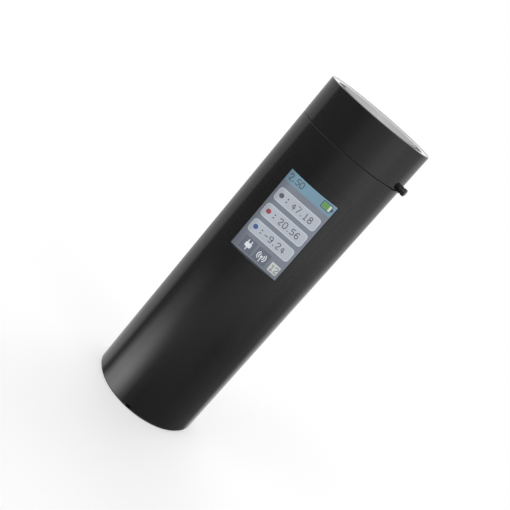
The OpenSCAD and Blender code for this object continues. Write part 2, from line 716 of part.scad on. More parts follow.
// Processor with its row of small companions
module processor() color([0.06, 0.06, 0.07]) {
    on_board(chip_x, z_main + chip_share * main_h, chip_w, chip_w, chip_t);
    for (k = [-2:2]) on_board(chip_x + small_pitch * k, z_main + small_share * main_h,
        small_w, small_w * 0.6, chip_t * 0.7);
    on_board(memory_x, z_main + chip_share * main_h, memory_w, memory_w * 1.2, chip_t * 0.9);
}

// Radio module under its folded metal lid
module wireless_module() color([0.72, 0.73, 0.75]) {
    z = z_main + radio_share * main_h;
    on_board(radio_x, z, radio_w, radio_h, pcb_t / 2);
    on_board(radio_x, z - (radio_h - lid_h) / 3, lid_w, lid_h, lid_t);
}

// Sockets that the flat ribbons plug into
display_socket_z = display_share * main_h;
sensor_socket_z = 8;
head_socket_drop = 7.5;
socket_t = 2;
module ribbon_sockets() color([0.85, 0.83, 0.76]) {
    on_board(0, z_main + display_socket_z, wide_ribbon_w + 3, socket_h, socket_t);
    on_board(ribbon_x, z_main + sensor_socket_z, socket_w, socket_h, socket_t);
    on_board(ribbon_x, z_main + main_h - head_socket_drop, socket_w, socket_h, socket_t);
}

// Small board above the cell that carries the charging socket
usb_board_w = 18;
usb_board_gap = 4;
module charging_board() color([0.1, 0.35, 0.18])
    translate([-usb_board_w / 2, chassis_y + chassis_t, z_usb_board])
        cube([usb_board_w, Ri - usb_board_gap - chassis_y - chassis_t, pcb_t]);

module charging_socket() color([0.75, 0.75, 0.77]) {
    y_face = sqrt(Ri * Ri - usb_w * usb_w / 4) - plate_gap;
    translate([0, y_face, z_usb + usb_h / 2]) rotate([90, 0, 0]) {
        difference() {
            linear_extrude(height = usb_l) stadium(usb_w, usb_h);
            translate([0, 0, -1]) linear_extrude(height = usb_l)
                stadium(usb_w - 2 * usb_shell, usb_h - 2 * usb_shell);
        }
        translate([0, 0, 1]) linear_extrude(height = usb_l - 1) square([6.2, 0.7], center = true);
    }
}

// Flush curved surround of the screen, with a flat back inside the tube
module screen_bezel() color([0.13, 0.13, 0.14]) difference() {
    union() {
        intersection() {
            translate([0, 0, z_bezel_low]) cylinder(r = R, h = z_bezel_high - z_bezel_low);
            facing(back_y, far, screen_z) rounded_rect(bezel_w, bezel_h, bezel_r);
        }
        intersection() {
            translate([0, 0, z_bezel_low]) cylinder(r = Ri - fit_gap, h = z_bezel_high - z_bezel_low);
            translate([-back_w / 2, -far, z_bezel_low])
                cube([back_w, far - back_y, z_bezel_high - z_bezel_low]);
        }
    }
    facing(0, far, screen_z) square([screen_w + 2 * fit_gap, screen_h + 2 * fit_gap], center = true);
    facing(0, screen_y - glass_t, screen_z - driver_h / 2)
        square([screen_w + 2 * fit_gap, screen_h + driver_h + 2 * fit_gap], center = true);
    for (s = [-1, 1], z = bracket_screws_z) translate([s * bracket_screw_x, -back_y + 1, z])
        rotate([90, 0, 0]) cylinder(d = m2[0] + 0.02, h = 3.4, $fn = 32);
}

module screen_glass() color([0.75, 0.82, 0.88])
    facing(screen_y - glass_t, screen_y, screen_z) square([screen_w, screen_h], center = true);

module display_module() color([0.3, 0.32, 0.35])
    facing(back_y, screen_y - glass_t, screen_z - driver_h / 2)
        square([screen_w, screen_h + driver_h], center = true);

// Plate that clamps the display against the surround
module display_bracket() color([0.7, 0.7, 0.72]) {
    z_mid = (z_bezel_low + z_bezel_high) / 2;
    difference() {
        facing(back_y - bracket_t, back_y, z_mid)
            rounded_rect(back_w - 2 * bracket_margin,
                z_bezel_high - z_bezel_low - 2 * bracket_margin, 1.5);
        facing(0, far, screen_z - screen_h / 2 + 2.5) rounded_rect(16, 3, 1);
        facing(0, far, screen_z + 3) rounded_rect(14, 18, 2);
        for (s = [-1, 1], z = bracket_screws_z) translate([s * bracket_screw_x, 0, z])
            rotate([90, 0, 0]) cylinder(d = m2[0] + 2 * screw_gap, h = far, $fn = 32);
    }
}

module bracket_screws() color([0.7, 0.7, 0.72])
    for (s = [-1, 1], z = bracket_screws_z) translate([s * bracket_screw_x, -(back_y - bracket_t), z])
        rotate([-90, 0, 0]) screw(m2, bracket_t + 1.6);

// Ribbon from the display's lower edge to the main board
module display_ribbon() color([0.75, 0.5, 0.15]) {
    z_start = screen_z - screen_h / 2 + 2.5;
    z_stop = z_main + display_socket_z + socket_h / 2 + 0.05;
    ribbon(bow([-(back_y - ribbon_t), z_start], [-(back_y - 9), z_start],
        [ribbon_plug_y, z_stop + 14], [ribbon_plug_y, z_stop]), wide_ribbon_w);
}

// Ribbon from the sensor board, through the lower plate, to the main board
module sensor_ribbon() color([0.75, 0.5, 0.15]) {
    z_start = z_sensor + pcb_t + ribbon_t / 2;
    z_stop = z_main + sensor_socket_z - socket_h / 2 - 0.05;
    translate([ribbon_x, 0, 0]) ribbon(concat([[-hub_r * 0.3, z_start]],
        bow([-hub_r * 0.7, z_start], [ribbon_slot_y, z_start], [ribbon_slot_y, z_lower - 2],
            [ribbon_slot_y, z_cabin]),
        bow([ribbon_slot_y, z_cabin + 0.6], [ribbon_slot_y, z_cabin + 4],
            [ribbon_plug_y, z_stop - 5], [ribbon_plug_y, z_stop])), ribbon_w);
}

// Ribbon from the main board, through the upper plate, to the button board
module head_ribbon() color([0.75, 0.5, 0.15]) {
    z_start = z_main + main_h - head_socket_drop + socket_h / 2 + 0.05;
    z_stop = z_board - ribbon_t / 2;
    translate([ribbon_x, 0, 0]) ribbon(concat(
        bow([ribbon_plug_y, z_start], [ribbon_plug_y, z_start + 5],
            [ribbon_slot_y, z_cabin_top - 6], [ribbon_slot_y, z_cabin_top]),
        bow([ribbon_slot_y, z_upper], [ribbon_slot_y, z_upper + 4], [-12, z_stop],
            [-8, z_stop])), ribbon_w);
}

// Spacers that carry the button board on the upper plate
module board_spacers() color([0.78, 0.66, 0.35])
    around(spacer_angles, spacer_r) translate([0, 0, z_upper]) difference() {
        cylinder(d = spacer_d, h = z_board - z_upper, $fn = 48);
        translate([0, 0, -1]) cylinder(d = m25[0] + 0.02, h = far, $fn = 32);
    }

// Screws through the button board and the spacers' upper plate
module spacer_screws() color([0.7, 0.7, 0.72])
    around(spacer_angles, spacer_r) {
        translate([0, 0, z_board_top]) screw(m25, pcb_t + 3);
        translate([0, 0, z_cabin_top]) rotate([180, 0, 0]) screw([m25[0], 4, 1.4], plate_t + 3);
    }

// Round board with both switches
module button_board() color([0.1, 0.35, 0.18]) difference() {
    ring(button_board_d / 2, 0, z_board, pcb_t);
    around(spacer_angles, spacer_r) translate([0, 0, z_board - 1])
        cylinder(d = m25[0] + 2 * screw_gap, h = pcb_t + 2, $fn = 32);
}

// Switch body about the origin, with its plunger's bore along +Z and a foot of the given
// length on its +X side
module switch_body(w, d, h, foot, bore_d, bore_depth) difference() {
    translate([-w / 2, -d / 2, 0]) cube([w / 2 + foot, d, h]);
    translate([0, 0, h - bore_depth]) cylinder(d = bore_d, h = bore_depth + 1, $fn = 48);
}

plunger_d = 3.2;
plunger_in = 1.6;
switch_bore = 2.7;
module button_switch() color([0.15, 0.15, 0.16])
    translate([0, 0, z_board_top])
        switch_body(switch_w, switch_w, switch_h, switch_w / 2, plunger_d + 2 * run_gap, switch_bore);

z_stem_end = z_board_top + switch_h + 1.6;
module button_plunger() color([0.85, 0.84, 0.8])
    ring(plunger_d / 2, 0, z_board_top + switch_h - plunger_in,
        z_stem_end - z_board_top - switch_h + plunger_in);

module key_switch() color([0.15, 0.15, 0.16])
    along_key() translate([0, 0, key_switch_front - key_switch_l])
        switch_body(switch_h, switch_w, key_switch_l, key_rise, key_tip + 2 * run_gap,
            key_plunger_in + key_travel + 0.3);

module key_plunger() color([0.85, 0.84, 0.8])
    along_key() translate([0, 0, key_switch_front - key_plunger_in])
        cylinder(d = key_tip, h = key_inner - key_switch_front + key_plunger_in, $fn = 48);

// Head: outer wall with a spigot into the tube and seats for its rings
module top_shell() color([0.13, 0.13, 0.14]) difference() {
    turned([[shell_in_r, z_upper], [Ri - fit_gap - 0.3, z_upper], [Ri - fit_gap, z_upper + 0.3],
        [Ri - fit_gap, z_seam_top], [R - 0.08, z_seam_top], [R, z_seam_top + 0.08],
        [R, total_h - lip_chamfer], [R - lip_chamfer, total_h], [R - lip_w, total_h],
        [R - lip_w, z_rim_ring], [Ri, z_rim_ring], [Ri, z_carrier], [shell_in_r, z_carrier]]);
    along_key() {
        translate([0, 0, shell_in_r - 3]) cylinder(d = key_d + 2 * run_gap, h = 10);
        translate([0, 0, Ri - bore_step + 0.8]) cylinder(d = key_d + 2 * key_hole_gap, h = 10);
    }
}

// Disc with a boss that guides the button's stem
module button_carrier() color([0.1, 0.1, 0.11]) {
    z_boss = z_disc_under - button_travel - 0.2;
    boss_r = guide_boss_d / 2;
    bore_r = stem_d / 2 + run_gap;
    difference() {
        turned([[bore_r, z_carrier], [Ri - fit_gap, z_carrier], [Ri - fit_gap, z_carrier_top],
            [boss_r + 0.6, z_carrier_top], [boss_r, z_carrier_top + 0.6], [boss_r, z_boss],
            [bore_r, z_boss]]);
        around([for (k = [0:5]) 30 + 60 * k], (Ri + boss_r) / 2 + 0.75) translate([0, 0, z_carrier - 1])
            cylinder(d = (Ri - boss_r) / 3.5, h = carrier_t + 2, $fn = 48);
    }
}

// Dark ring that guides the button's edge
module guide_ring() color([0.3, 0.3, 0.31]) {
    r_in = button_d / 2 + run_gap;
    r_out = guide_ring_d / 2;
    z_top = total_h - guide_drop;
    turned([[r_in, z_carrier_top], [Ri - fit_gap, z_carrier_top],
        [Ri - fit_gap, z_rim_ring - 2], [r_out, z_rim_ring - 2], [r_out, z_top],
        [r_in + 0.3, z_top], [r_in, z_top - 0.3]]);
}

// Bright ring around the dark one
module rim_ring() color([0.9, 0.9, 0.92]) {
    r_in = guide_ring_d / 2 + fit_gap;
    r_out = R - lip_w - fit_gap;
    turned([[r_in, z_rim_ring], [r_out, z_rim_ring], [r_out, z_rim_ring + rim_t],
        [r_in + 0.25, z_rim_ring + rim_t], [r_in, z_rim_ring + rim_t - 0.25]]);
}

// Button: brushed disc, skirt and guided stem with a groove for its clip
stem_groove = 0.8;
module measure_button() color([0.78, 0.78, 0.8]) {
    r = button_d / 2;
    r_s = stem_d / 2;
    r_g = r_s - stem_groove;
    z_clip = z_clip_top - clip_t;
    turned([[0, z_stem_end], [r_s - 0.3, z_stem_end], [r_s, z_stem_end + 0.3], [r_s, z_clip],
        [r_g, z_clip], [r_g, z_clip_top], [r_s, z_clip_top], [r_s, z_disc_under],
        [r - skirt_t, z_disc_under], [r - skirt_t, z_disc_under - skirt_h],
        [r, z_disc_under - skirt_h], [r, z_button - 0.3], [r - 0.3, z_button], [0, z_button]]);
}

// Open clip in the stem's groove, which stops the button's upward travel
clip_w = 2;
clip_tab = 1.1;
module button_clip() color([0.6, 0.6, 0.62]) difference() {
    ring(stem_d / 2 + clip_w, stem_d / 2 - stem_groove, z_clip_top - clip_t, clip_t);
    translate([clip_tab - stem_d / 2, 0, z_clip_top - 2 * clip_t])
        cube([stem_d - 2 * clip_tab, stem_d, 3 * clip_t]);
}

// Coil of the return spring: one wound tube with closed flat ends
spring_z0 = z_carrier_top + wire_d / 2;
spring_z1 = z_disc_under - wire_d / 2;
spring_steps = 16;
spring_sides = 8;
spring_n = (spring_turns + 1) * spring_steps;
spring_flat = spring_steps / 2;
function spring_height(i) = let (t = (i - spring_flat) / (spring_n - 2 * spring_flat))
    spring_z0 + (spring_z1 - spring_z0) * min(max(t, 0), 1);
function spring_point(i) = let (a = 360 * i / spring_steps)
    [spring_d / 2 * cos(a), spring_d / 2 * sin(a), spring_height(i)];
module button_spring() color([0.7, 0.7, 0.72]) {
    rings = [for (i = [0:spring_n]) let (a = 360 * i / spring_steps, p = spring_point(i))
        [for (k = [0:spring_sides - 1]) let (b = 360 * k / spring_sides)
            p + wire_d / 2 * [cos(b) * cos(a), cos(b) * sin(a), sin(b)]]];
    points = [for (loop = rings) each loop];
    walls = [for (i = [0:spring_n - 1], k = [0:spring_sides - 1])
        let (a = i * spring_sides + k, b = i * spring_sides + (k + 1) % spring_sides)
        each [[a, a + spring_sides, b], [b, a + spring_sides, b + spring_sides]]];
    first = [for (k = [0:spring_sides - 1]) k];
    last = [for (k = [spring_sides - 1:-1:0]) spring_n * spring_sides + k];
    polyhedron(points = points, faces = concat(walls, [first, last]));
}

// Side key: rounded head, thin groove, collar behind the wall and inner stem
module side_key() color([0.04, 0.04, 0.045]) along_key() {
    r = key_d / 2;
    r_g = r - key_groove_t;
    turned([[0, key_inner], [key_stem_r, key_inner], [key_stem_r, collar_out - collar_t],
        [collar_d / 2, collar_out - collar_t], [collar_d / 2, collar_out], [r, collar_out],
        [r, key_groove_at], [r_g, key_groove_at + 0.1], [r_g, key_groove_at + key_groove_w],
        [r, key_groove_at + key_groove_w + 0.1],
        [r, key_end - key_round], [r - key_round * 0.3, key_end - key_round * 0.3],
        [r - key_round, key_end], [0, key_end]]);
}

calibration_cap();
tile_pad();
white_tile();
cap_seal();
body_tube();
port_sleeve();
port_window();
window_seal();
optical_block();
optic_screws();
lamp_board();
lamps();
lamp_screws();
objective_lens();
sensor_tube();
sensor_board();
colour_sensor();
pillars();
pillar_screws();
lower_plate();
chassis();
chassis_screws();
battery_cradle();
battery_cell();
battery_contacts();
main_board();
board_screws();
processor();
wireless_module();
ribbon_sockets();
charging_board();
charging_socket();
screen_bezel();
screen_glass();
display_module();
display_bracket();
bracket_screws();
display_ribbon();
sensor_ribbon();
head_ribbon();
upper_plate();
board_spacers();
spacer_screws();
button_board();
button_switch();
key_switch();
top_shell();
button_carrier();
guide_ring();
rim_ring();
measure_button();
button_clip();
button_plunger();
button_spring();
side_key();
key_plunger();
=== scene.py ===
import json
import math

import bpy
from mathutils import Matrix, Vector


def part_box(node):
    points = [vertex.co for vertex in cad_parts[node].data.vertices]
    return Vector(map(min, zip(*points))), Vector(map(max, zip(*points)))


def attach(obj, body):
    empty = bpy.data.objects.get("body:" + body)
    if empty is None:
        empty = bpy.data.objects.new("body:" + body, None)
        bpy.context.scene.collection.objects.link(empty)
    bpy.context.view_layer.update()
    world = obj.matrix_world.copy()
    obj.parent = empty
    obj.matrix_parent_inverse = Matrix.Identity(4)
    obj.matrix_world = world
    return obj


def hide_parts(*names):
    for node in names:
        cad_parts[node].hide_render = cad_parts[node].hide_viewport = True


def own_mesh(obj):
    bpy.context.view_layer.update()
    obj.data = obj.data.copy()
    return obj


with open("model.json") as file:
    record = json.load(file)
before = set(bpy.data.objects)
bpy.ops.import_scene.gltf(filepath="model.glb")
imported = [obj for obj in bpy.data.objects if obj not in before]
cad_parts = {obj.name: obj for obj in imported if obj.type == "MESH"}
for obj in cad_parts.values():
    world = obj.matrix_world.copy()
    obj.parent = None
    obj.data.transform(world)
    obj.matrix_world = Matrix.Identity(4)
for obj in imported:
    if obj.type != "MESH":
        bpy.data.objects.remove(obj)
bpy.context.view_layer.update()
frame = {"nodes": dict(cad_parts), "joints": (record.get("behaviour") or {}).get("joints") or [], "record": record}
nodes = frame["nodes"]
joints = {joint["name"]: joint for joint in frame["joints"]}

MM = 0.001
TUBE_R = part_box("body_tube")[1].x
RING_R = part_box("rim_ring")[1].x


# Camera

# The photograph's frame and camera, found from the part's outline in it
FRAME_PX = 510
FOCAL_PX = 845.13
SENSOR_MM = 36
CAMERA_AT = (0.019401, -0.342254, 0.179075)
VIEW_AZIMUTH = math.radians(3.633)
VIEW_DROP = math.radians(16.078)
VIEW_ROLL = math.radians(40.55)


def add_object(name, data):
    made = bpy.data.objects.new(name, data)
    bpy.context.scene.collection.objects.link(made)
    return made


def add_mesh(name, points, faces, finish):
    mesh = bpy.data.meshes.new(name)
    mesh.from_pydata(points, [], faces)
    mesh.update()
    mesh.materials.append(finish)
    return add_object(name, mesh)


def make_camera():
    """The photograph's camera: slightly to the right of the screen, above it, and rolled."""
    data = bpy.data.cameras.new("camera")
    data.sensor_width = SENSOR_MM
    data.lens = FOCAL_PX / FRAME_PX * SENSOR_MM
    data.clip_start = 0.01
    data.clip_end = 50
    camera = add_object("camera", data)
    turn = Matrix.Rotation(VIEW_AZIMUTH, 4, "Z")
    tilt = Matrix.Rotation(math.pi / 2 - VIEW_DROP, 4, "X")
    roll = Matrix.Rotation(VIEW_ROLL, 4, "Z")
    camera.matrix_world = Matrix.Translation(CAMERA_AT) @ turn @ tilt @ roll
    bpy.context.scene.camera = camera


# Node helpers

NOISE_LOW, NOISE_HIGH = 0.3, 0.7


def grey(level):
    return (level, level, level)


def linear(step):
    """An sRGB step from 0 to 255 as a linear value."""
    share = step / 255
    return share / 12.92 if share <= 0.04045 else ((share + 0.055) / 1.055) ** 2.4


class Nodes:
    """Short calls that add nodes to one tree. Colours are (red, green, blue)."""

    def __init__(self, tree):
        self.tree = tree
        tree.nodes.clear()

    def add(self, kind, inputs=None, **settings):
        """A node with its settings, and each input linked or set."""
        node = self.tree.nodes.new(kind)
        for key, value in settings.items():
            setattr(node, key, value)
        for key, value in (inputs or {}).items():
            socket = node.inputs[key]
            if isinstance(value, bpy.types.NodeSocket):
                self.tree.links.new(value, socket)
            elif socket.type == "RGBA":
                socket.default_value = (*value, 1)
            else:
                socket.default_value = value
        return node

    def math(self, operation, a, b=0.0, c=None):
        inputs = {0: a, 1: b}
        if c is not None:
            inputs[2] = c
        return self.add("ShaderNodeMath", inputs, operation=operation).outputs[0]

    def plus(self, a, b):
        return self.math("ADD", a, b)

    def minus(self, a, b):
        return self.math("SUBTRACT", a, b)

    def times(self, a, b):
        return self.math("MULTIPLY", a, b)

    def root(self, a):
        return self.math("SQRT", a)

    def radius(self, x, y):
        return self.root(self.plus(self.times(x, x), self.times(y, y)))

    def place(self):
        return self.add("ShaderNodeTexCoord").outputs["Object"]

    def split(self, vector):
        node = self.add("ShaderNodeSeparateXYZ", {0: vector})
        return node.outputs[0], node.outputs[1], node.outputs[2]

    def join(self, x, y, z):
        return self.add("ShaderNodeCombineXYZ", {0: x, 1: y, 2: z}).outputs[0]

    def stretch(self, vector, scale):
        return self.add("ShaderNodeMapping", {"Vector": vector, "Scale": scale}).outputs[0]

    def noise(self, vector, scale, detail, rough=0.55):
        node = self.add("ShaderNodeTexNoise", {
            "Vector": vector, "Scale": scale, "Detail": detail, "Roughness": rough})
        return node.outputs[0]

    def cells(self, vector, scale, distance="EUCLIDEAN"):
        inputs = {"Vector": vector, "Scale": scale}
        return self.add("ShaderNodeTexVoronoi", inputs, distance=distance).outputs[0]

    def stripes(self, value, rate, low, high, dark=0.0, light=1.0):
        """Dark lines between lighter bands, rate of them for each step of 1 in the value."""
        wave = self.math("PINGPONG", self.times(value, rate), 0.5)
        return self.span(wave, low, high, dark, light)

    def ramp(self, value, stops):
        """Colours at places from 0 to 1."""
        node = self.add("ShaderNodeValToRGB", {0: value})
        elements = node.color_ramp.elements
        while len(elements) < len(stops):
            elements.new(0.5)
        for element, (position, colour) in zip(elements, sorted(stops)):
            element.position = position
            element.color = (*colour, 1)
        return node.outputs[0]

    def shade(self, noise, dark, light):
        """Two tones over the middle of a noise."""
        return self.ramp(noise, [(NOISE_LOW, dark), (NOISE_HIGH, light)])

    def vary(self, noise, low, high):
        """A value from low to high over the middle of a noise."""
        return self.span(noise, NOISE_LOW, NOISE_HIGH, low, high)

    def span(self, value, low, high, to_low=0.0, to_high=1.0, smooth=False):
        return self.add("ShaderNodeMapRange", {
            "Value": value, "From Min": low, "From Max": high, "To Min": to_low, "To Max": to_high},
            interpolation_type="SMOOTHSTEP" if smooth else "LINEAR").outputs[0]

    def blend(self, share, a, b):
        return self.add("ShaderNodeMix", {0: share, 6: a, 7: b}, data_type="RGBA").outputs[2]

    def mix_shaders(self, share, a, b):
        return self.add("ShaderNodeMixShader", {0: share, 1: a, 2: b}).outputs[0]

    def bump(self, height, strength, depth_mm):
        inputs = {"Height": height, "Strength": strength, "Distance": depth_mm * MM}
        return self.add("ShaderNodeBump", inputs).outputs[0]


def material(name, build):
    """A new material; build gets the node helper and returns the inputs of the main shader."""
    made = bpy.data.materials.new(name)
    made.use_nodes = True
    n = Nodes(made.node_tree)
    shader = n.add("ShaderNodeBsdfPrincipled", build(n))
    n.add("ShaderNodeOutputMaterial", {0: shader.outputs[0]})
    return made


# Materials of the housing

GLOSS_IOR = 1.7
# The head's lip is bright from this radius inwards and from this height up, each with a soft edge
LIP_INSIDE, LIP_OUTSIDE = RING_R + 0.22 * MM, RING_R + 0.30 * MM
LIP_FROM, LIP_FULL = 150.0 * MM, 150.2 * MM


def black_anodised(n):
    p = n.place()
    speck = n.noise(p, 3400, 2)
    cloud = n.noise(p, 55, 3)
    fine = n.noise(p, 9000, 1)
    tone = n.plus(n.times(speck, 0.7), n.times(cloud, 0.3))
    base = n.ramp(tone, [(0.3, (0.0076, 0.0076, 0.0078)), (0.5, (0.0092, 0.0092, 0.0094)),
                         (0.72, (0.0112, 0.0112, 0.0114))])
    rough = n.plus(n.vary(cloud, 0.105, 0.140), n.times(n.minus(fine, 0.5), 0.03))
    height = n.plus(speck, n.times(fine, 0.5))
    return {"Base Color": base, "Roughness": rough, "IOR": GLOSS_IOR,
            "Normal": n.bump(height, 0.009, 0.02)}


def shell_finish(n):
    """The head's anodised black, with the lip's inner edge turned bright."""
    inputs = black_anodised(n)
    x, y, z = n.split(n.place())
    edge = n.times(n.span(n.radius(x, y), LIP_OUTSIDE, LIP_INSIDE), n.span(z, LIP_FROM, LIP_FULL))
    inputs["Base Color"] = n.blend(edge, inputs["Base Color"], (0.84, 0.845, 0.86))
    inputs["Metallic"] = edge
    inputs["Roughness"] = n.plus(inputs["Roughness"], n.times(edge, 0.35))
    return inputs


def matt_black_metal(n):
    p = n.place()
    turned = n.noise(n.join(0.0, 0.0, n.split(p)[2]), 9000, 2)
    grain = n.noise(p, 2600, 3)
    return {"Base Color": n.shade(grain, (0.010, 0.010, 0.011), (0.026, 0.026, 0.028)),
            "Roughness": n.vary(grain, 0.5, 0.68), "Specular IOR Level": 0.4,
            "Normal": n.bump(n.plus(turned, grain), 0.12, 0.03)}


def circles(n, across, along, depth=0.0, detail=3, rough=0.55):
    """Noise in circles round the axis, fine across them and long along them, as turning leaves it."""
    x, y, _ = n.split(n.place())
    angle = n.math("ARCTAN2", y, x)
    place = n.join(n.times(n.radius(x, y), across), n.times(angle, along), depth)
    return n.noise(place, 1, detail, rough)


def brushed_disc(n):
    p = n.place()
    line = circles(n, 5200, 1.6, depth=n.split(p)[2], detail=4, rough=0.7)
    cloud = n.noise(p, 120, 2)
    tangent = n.add("ShaderNodeTangent", direction_type="RADIAL", axis="Z").outputs[0]
    base = n.ramp(line, [(0.25, (0.225, 0.228, 0.233)), (0.5, (0.300, 0.303, 0.308)),
                         (0.75, (0.385, 0.388, 0.393))])
    rough = n.plus(n.vary(line, 0.34, 0.38), n.vary(cloud, -0.02, 0.02))
    return {"Base Color": base, "Metallic": 1.0, "Roughness": rough, "Anisotropic": 0.5,
            "Tangent": tangent, "Normal": n.bump(line, 0.02, 0.01)}


def polished_ring(n):
    line = circles(n, 9000, 3.0)
    return {"Base Color": n.shade(line, (0.80, 0.81, 0.83), (0.92, 0.925, 0.935)),
            "Metallic": 1.0, "Roughness": n.vary(line, 0.06, 0.13)}


def dark_ring(n):
    line = circles(n, 7000, 3.0)
    grain = n.noise(n.place(), 4200, 2)
    return {"Base Color": n.shade(line, (0.020, 0.021, 0.023), (0.040, 0.041, 0.044)),
            "Roughness": n.vary(grain, 0.34, 0.46), "Specular IOR Level": 0.12,
            "Normal": n.bump(n.plus(line, grain), 0.03, 0.01)}


def black_gloss(n):
    p = n.place()
    grain = n.noise(p, 5200, 2)
    cloud = n.noise(p, 500, 2)
    return {"Base Color": n.shade(grain, (0.003, 0.003, 0.0035), (0.007, 0.007, 0.0075)),
            "Roughness": n.vary(cloud, 0.08, 0.14), "IOR": GLOSS_IOR,
            "Normal": n.bump(grain, 0.01, 0.01)}


def black_rubber(n):
    grain = n.noise(n.place(), 2400, 4)
    return {"Base Color": n.shade(grain, grey(0.010), grey(0.024)),
            "Roughness": n.vary(grain, 0.68, 0.85), "Normal": n.bump(grain, 0.3, 0.05)}


def foam_grey(n):
    cells = n.cells(n.place(), 1700)
    return {"Base Color": n.ramp(cells, [(0.1, grey(0.09)), (0.6, grey(0.15))]),
            "Roughness": 0.95, "Normal": n.bump(cells, 0.6, 0.2)}


def white_ceramic(n):
    p = n.place()
    cloud = n.noise(p, 260, 4)
    speck = n.noise(p, 5200, 2)
    return {"Base Color": n.shade(cloud, (0.80, 0.80, 0.785), (0.86, 0.86, 0.85)),
            "Roughness": n.vary(speck, 0.16, 0.26), "Coat Weight": 0.3,
            "Normal": n.bump(speck, 0.03, 0.02)}


def clear_glass(n):
    smear = n.noise(n.place(), 180, 4)
    return {"Base Color": (0.96, 0.98, 0.98), "Transmission Weight": 1.0, "IOR": 1.5,
            "Roughness": n.span(smear, 0.35, 0.7, 0.0, 0.03)}


def lamp_resin(n):
    glow = n.noise(n.place(), 1500, 3)
    return {"Base Color": n.shade(glow, (0.80, 0.70, 0.32), (0.90, 0.84, 0.52)),
            "Roughness": 0.22, "Transmission Weight": 0.25}


# Materials of the inner parts

def bare_aluminium(n):
    p = n.place()
    line = n.noise(n.stretch(p, (40, 2600, 2600)), 1, 4, 0.65)
    cloud = n.noise(p, 130, 3)
    return {"Base Color": n.shade(line, (0.55, 0.56, 0.58), (0.70, 0.71, 0.73)),
            "Metallic": 1.0, "Roughness": n.vary(cloud, 0.28, 0.42),
            "Normal": n.bump(line, 0.1, 0.02)}


def metal(colour, low, high):
    """Plain metal with a fine grain, its roughness from low to high."""
    def build(n):
        p = n.place()
        grain = n.noise(p, 2200, 3)
        cloud = n.noise(p, 300, 3)
        dark = tuple(level * 0.82 for level in colour)
        return {"Base Color": n.shade(grain, dark, colour), "Metallic": 1.0,
                "Roughness": n.vary(cloud, low, high), "Normal": n.bump(grain, 0.06, 0.02)}
    return build


def moulded(dark, light, low, high, scale=2600, relief=0.12):
    """Moulded plastic with a fine grain, its roughness from low to high."""
    def build(n):
        grain = n.noise(n.place(), scale, 3)
        return {"Base Color": n.shade(grain, dark, light), "Roughness": n.vary(grain, low, high),
                "Normal": n.bump(grain, relief, 0.03)}
    return build


def circuit_board(mask, track):
    """Solder mask with raised tracks that show through it, and round plated pads."""
    def build(n):
        p = n.place()
        tracks = n.stripes(n.cells(p, 420, "MANHATTAN"), 5.0, 0.16, 0.24)
        pads = n.span(n.cells(p, 300), 0.16, 0.10)
        return {"Base Color": n.blend(pads, n.blend(tracks, mask, track), (0.62, 0.60, 0.55)),
                "Roughness": n.span(pads, 0.0, 1.0, 0.32, 0.24), "Metallic": n.times(pads, 0.9),
                "Normal": n.bump(n.plus(tracks, pads), 0.25, 0.03)}
    return build


def cell_sleeve(n):
    p = n.place()
    wrinkle = n.noise(n.stretch(p, (900, 900, 60)), 1, 3)
    cloud = n.noise(p, 200, 3)
    return {"Base Color": n.shade(cloud, (0.030, 0.110, 0.330), (0.045, 0.150, 0.410)),
            "Roughness": n.vary(cloud, 0.25, 0.36), "Coat Weight": 0.4,
            "Normal": n.bump(wrinkle, 0.15, 0.05)}


def ribbon_amber(n):
    p = n.place()
    wires = n.stripes(n.split(p)[0], 1250, 0.2, 0.3)
    cloud = n.noise(p, 400, 3)
    return {"Base Color": n.blend(wires, (0.52, 0.24, 0.045), (0.74, 0.44, 0.16)),
            "Roughness": n.vary(cloud, 0.25, 0.4), "Metallic": n.times(wires, 0.4),
            "Normal": n.bump(wires, 0.3, 0.03)}


# Screen: its lit areas are thin sheets, placed in mm from the glass's top left corner, y down

SCREEN_LOW, SCREEN_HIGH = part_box("screen_glass")
GLASS_Y = SCREEN_LOW.y
SCREEN_W = (SCREEN_HIGH.x - SCREEN_LOW.x) / MM
SCREEN_H = (SCREEN_HIGH.z - SCREEN_LOW.z) / MM
PIXELS_PER_M = 5500
GAP_FROM, GAP_TO, COLUMN_GAP, ROW_GAP = 0.04, 0.12, 0.86, 0.90

# The picture dims towards its left edge and its foot, to these levels
LEFT_FROM, LEFT_TO, LEFT_LEVEL = SCREEN_LOW.x - 0.2 * MM, SCREEN_LOW.x + 4.6 * MM, 0.66
FOOT_TO, FOOT_LEVEL = SCREEN_LOW.z + 12 * MM, 0.84

# Each lit area's colour in sRGB steps, and how much its brightness drifts
LIT = {
    "ground": ((124, 131, 142), 0.05),
    "header": ((119, 152, 170), 0.05),
    "box": ((178, 185, 194), 0.03),
    "box_border": ((194, 201, 208), 0.03),
    "digits": ((78, 81, 88), 0.03),
    "green": ((104, 154, 88), 0.05),
    "pale": ((205, 210, 208), 0.03),
    "white": ((232, 236, 240), 0.02),
    "dot_1": ((92, 96, 104), 0.05),
    "dot_2": ((150, 74, 78), 0.05),
    "dot_3": ((70, 96, 150), 0.05),
    "tool_ground": ((108, 115, 130), 0.05),
    "grey": ((120, 126, 134), 0.03),
}

# The black outline round the lit area lies on the tube's curve: its height over the tube, how far
# it reaches outside and inside the lit area, and its steps across
OUTLINE_LIFT = 0.015
OUTLINE_OUTSIDE, OUTLINE_INSIDE = -0.32, -0.02
OUTLINE_STEPS = 28

# Heights of the sheets over the glass
FILL_LIFT, CELL_LIFT, MARK_LIFT, SIGN_LIFT, NUMBER_LIFT = 0.006, 0.008, 0.010, 0.012, 0.014

# Readings: height, pitch and stroke width of their digits
DIGIT_H, DIGIT_PITCH, DIGIT_W = 2.6, 2.32, 0.34

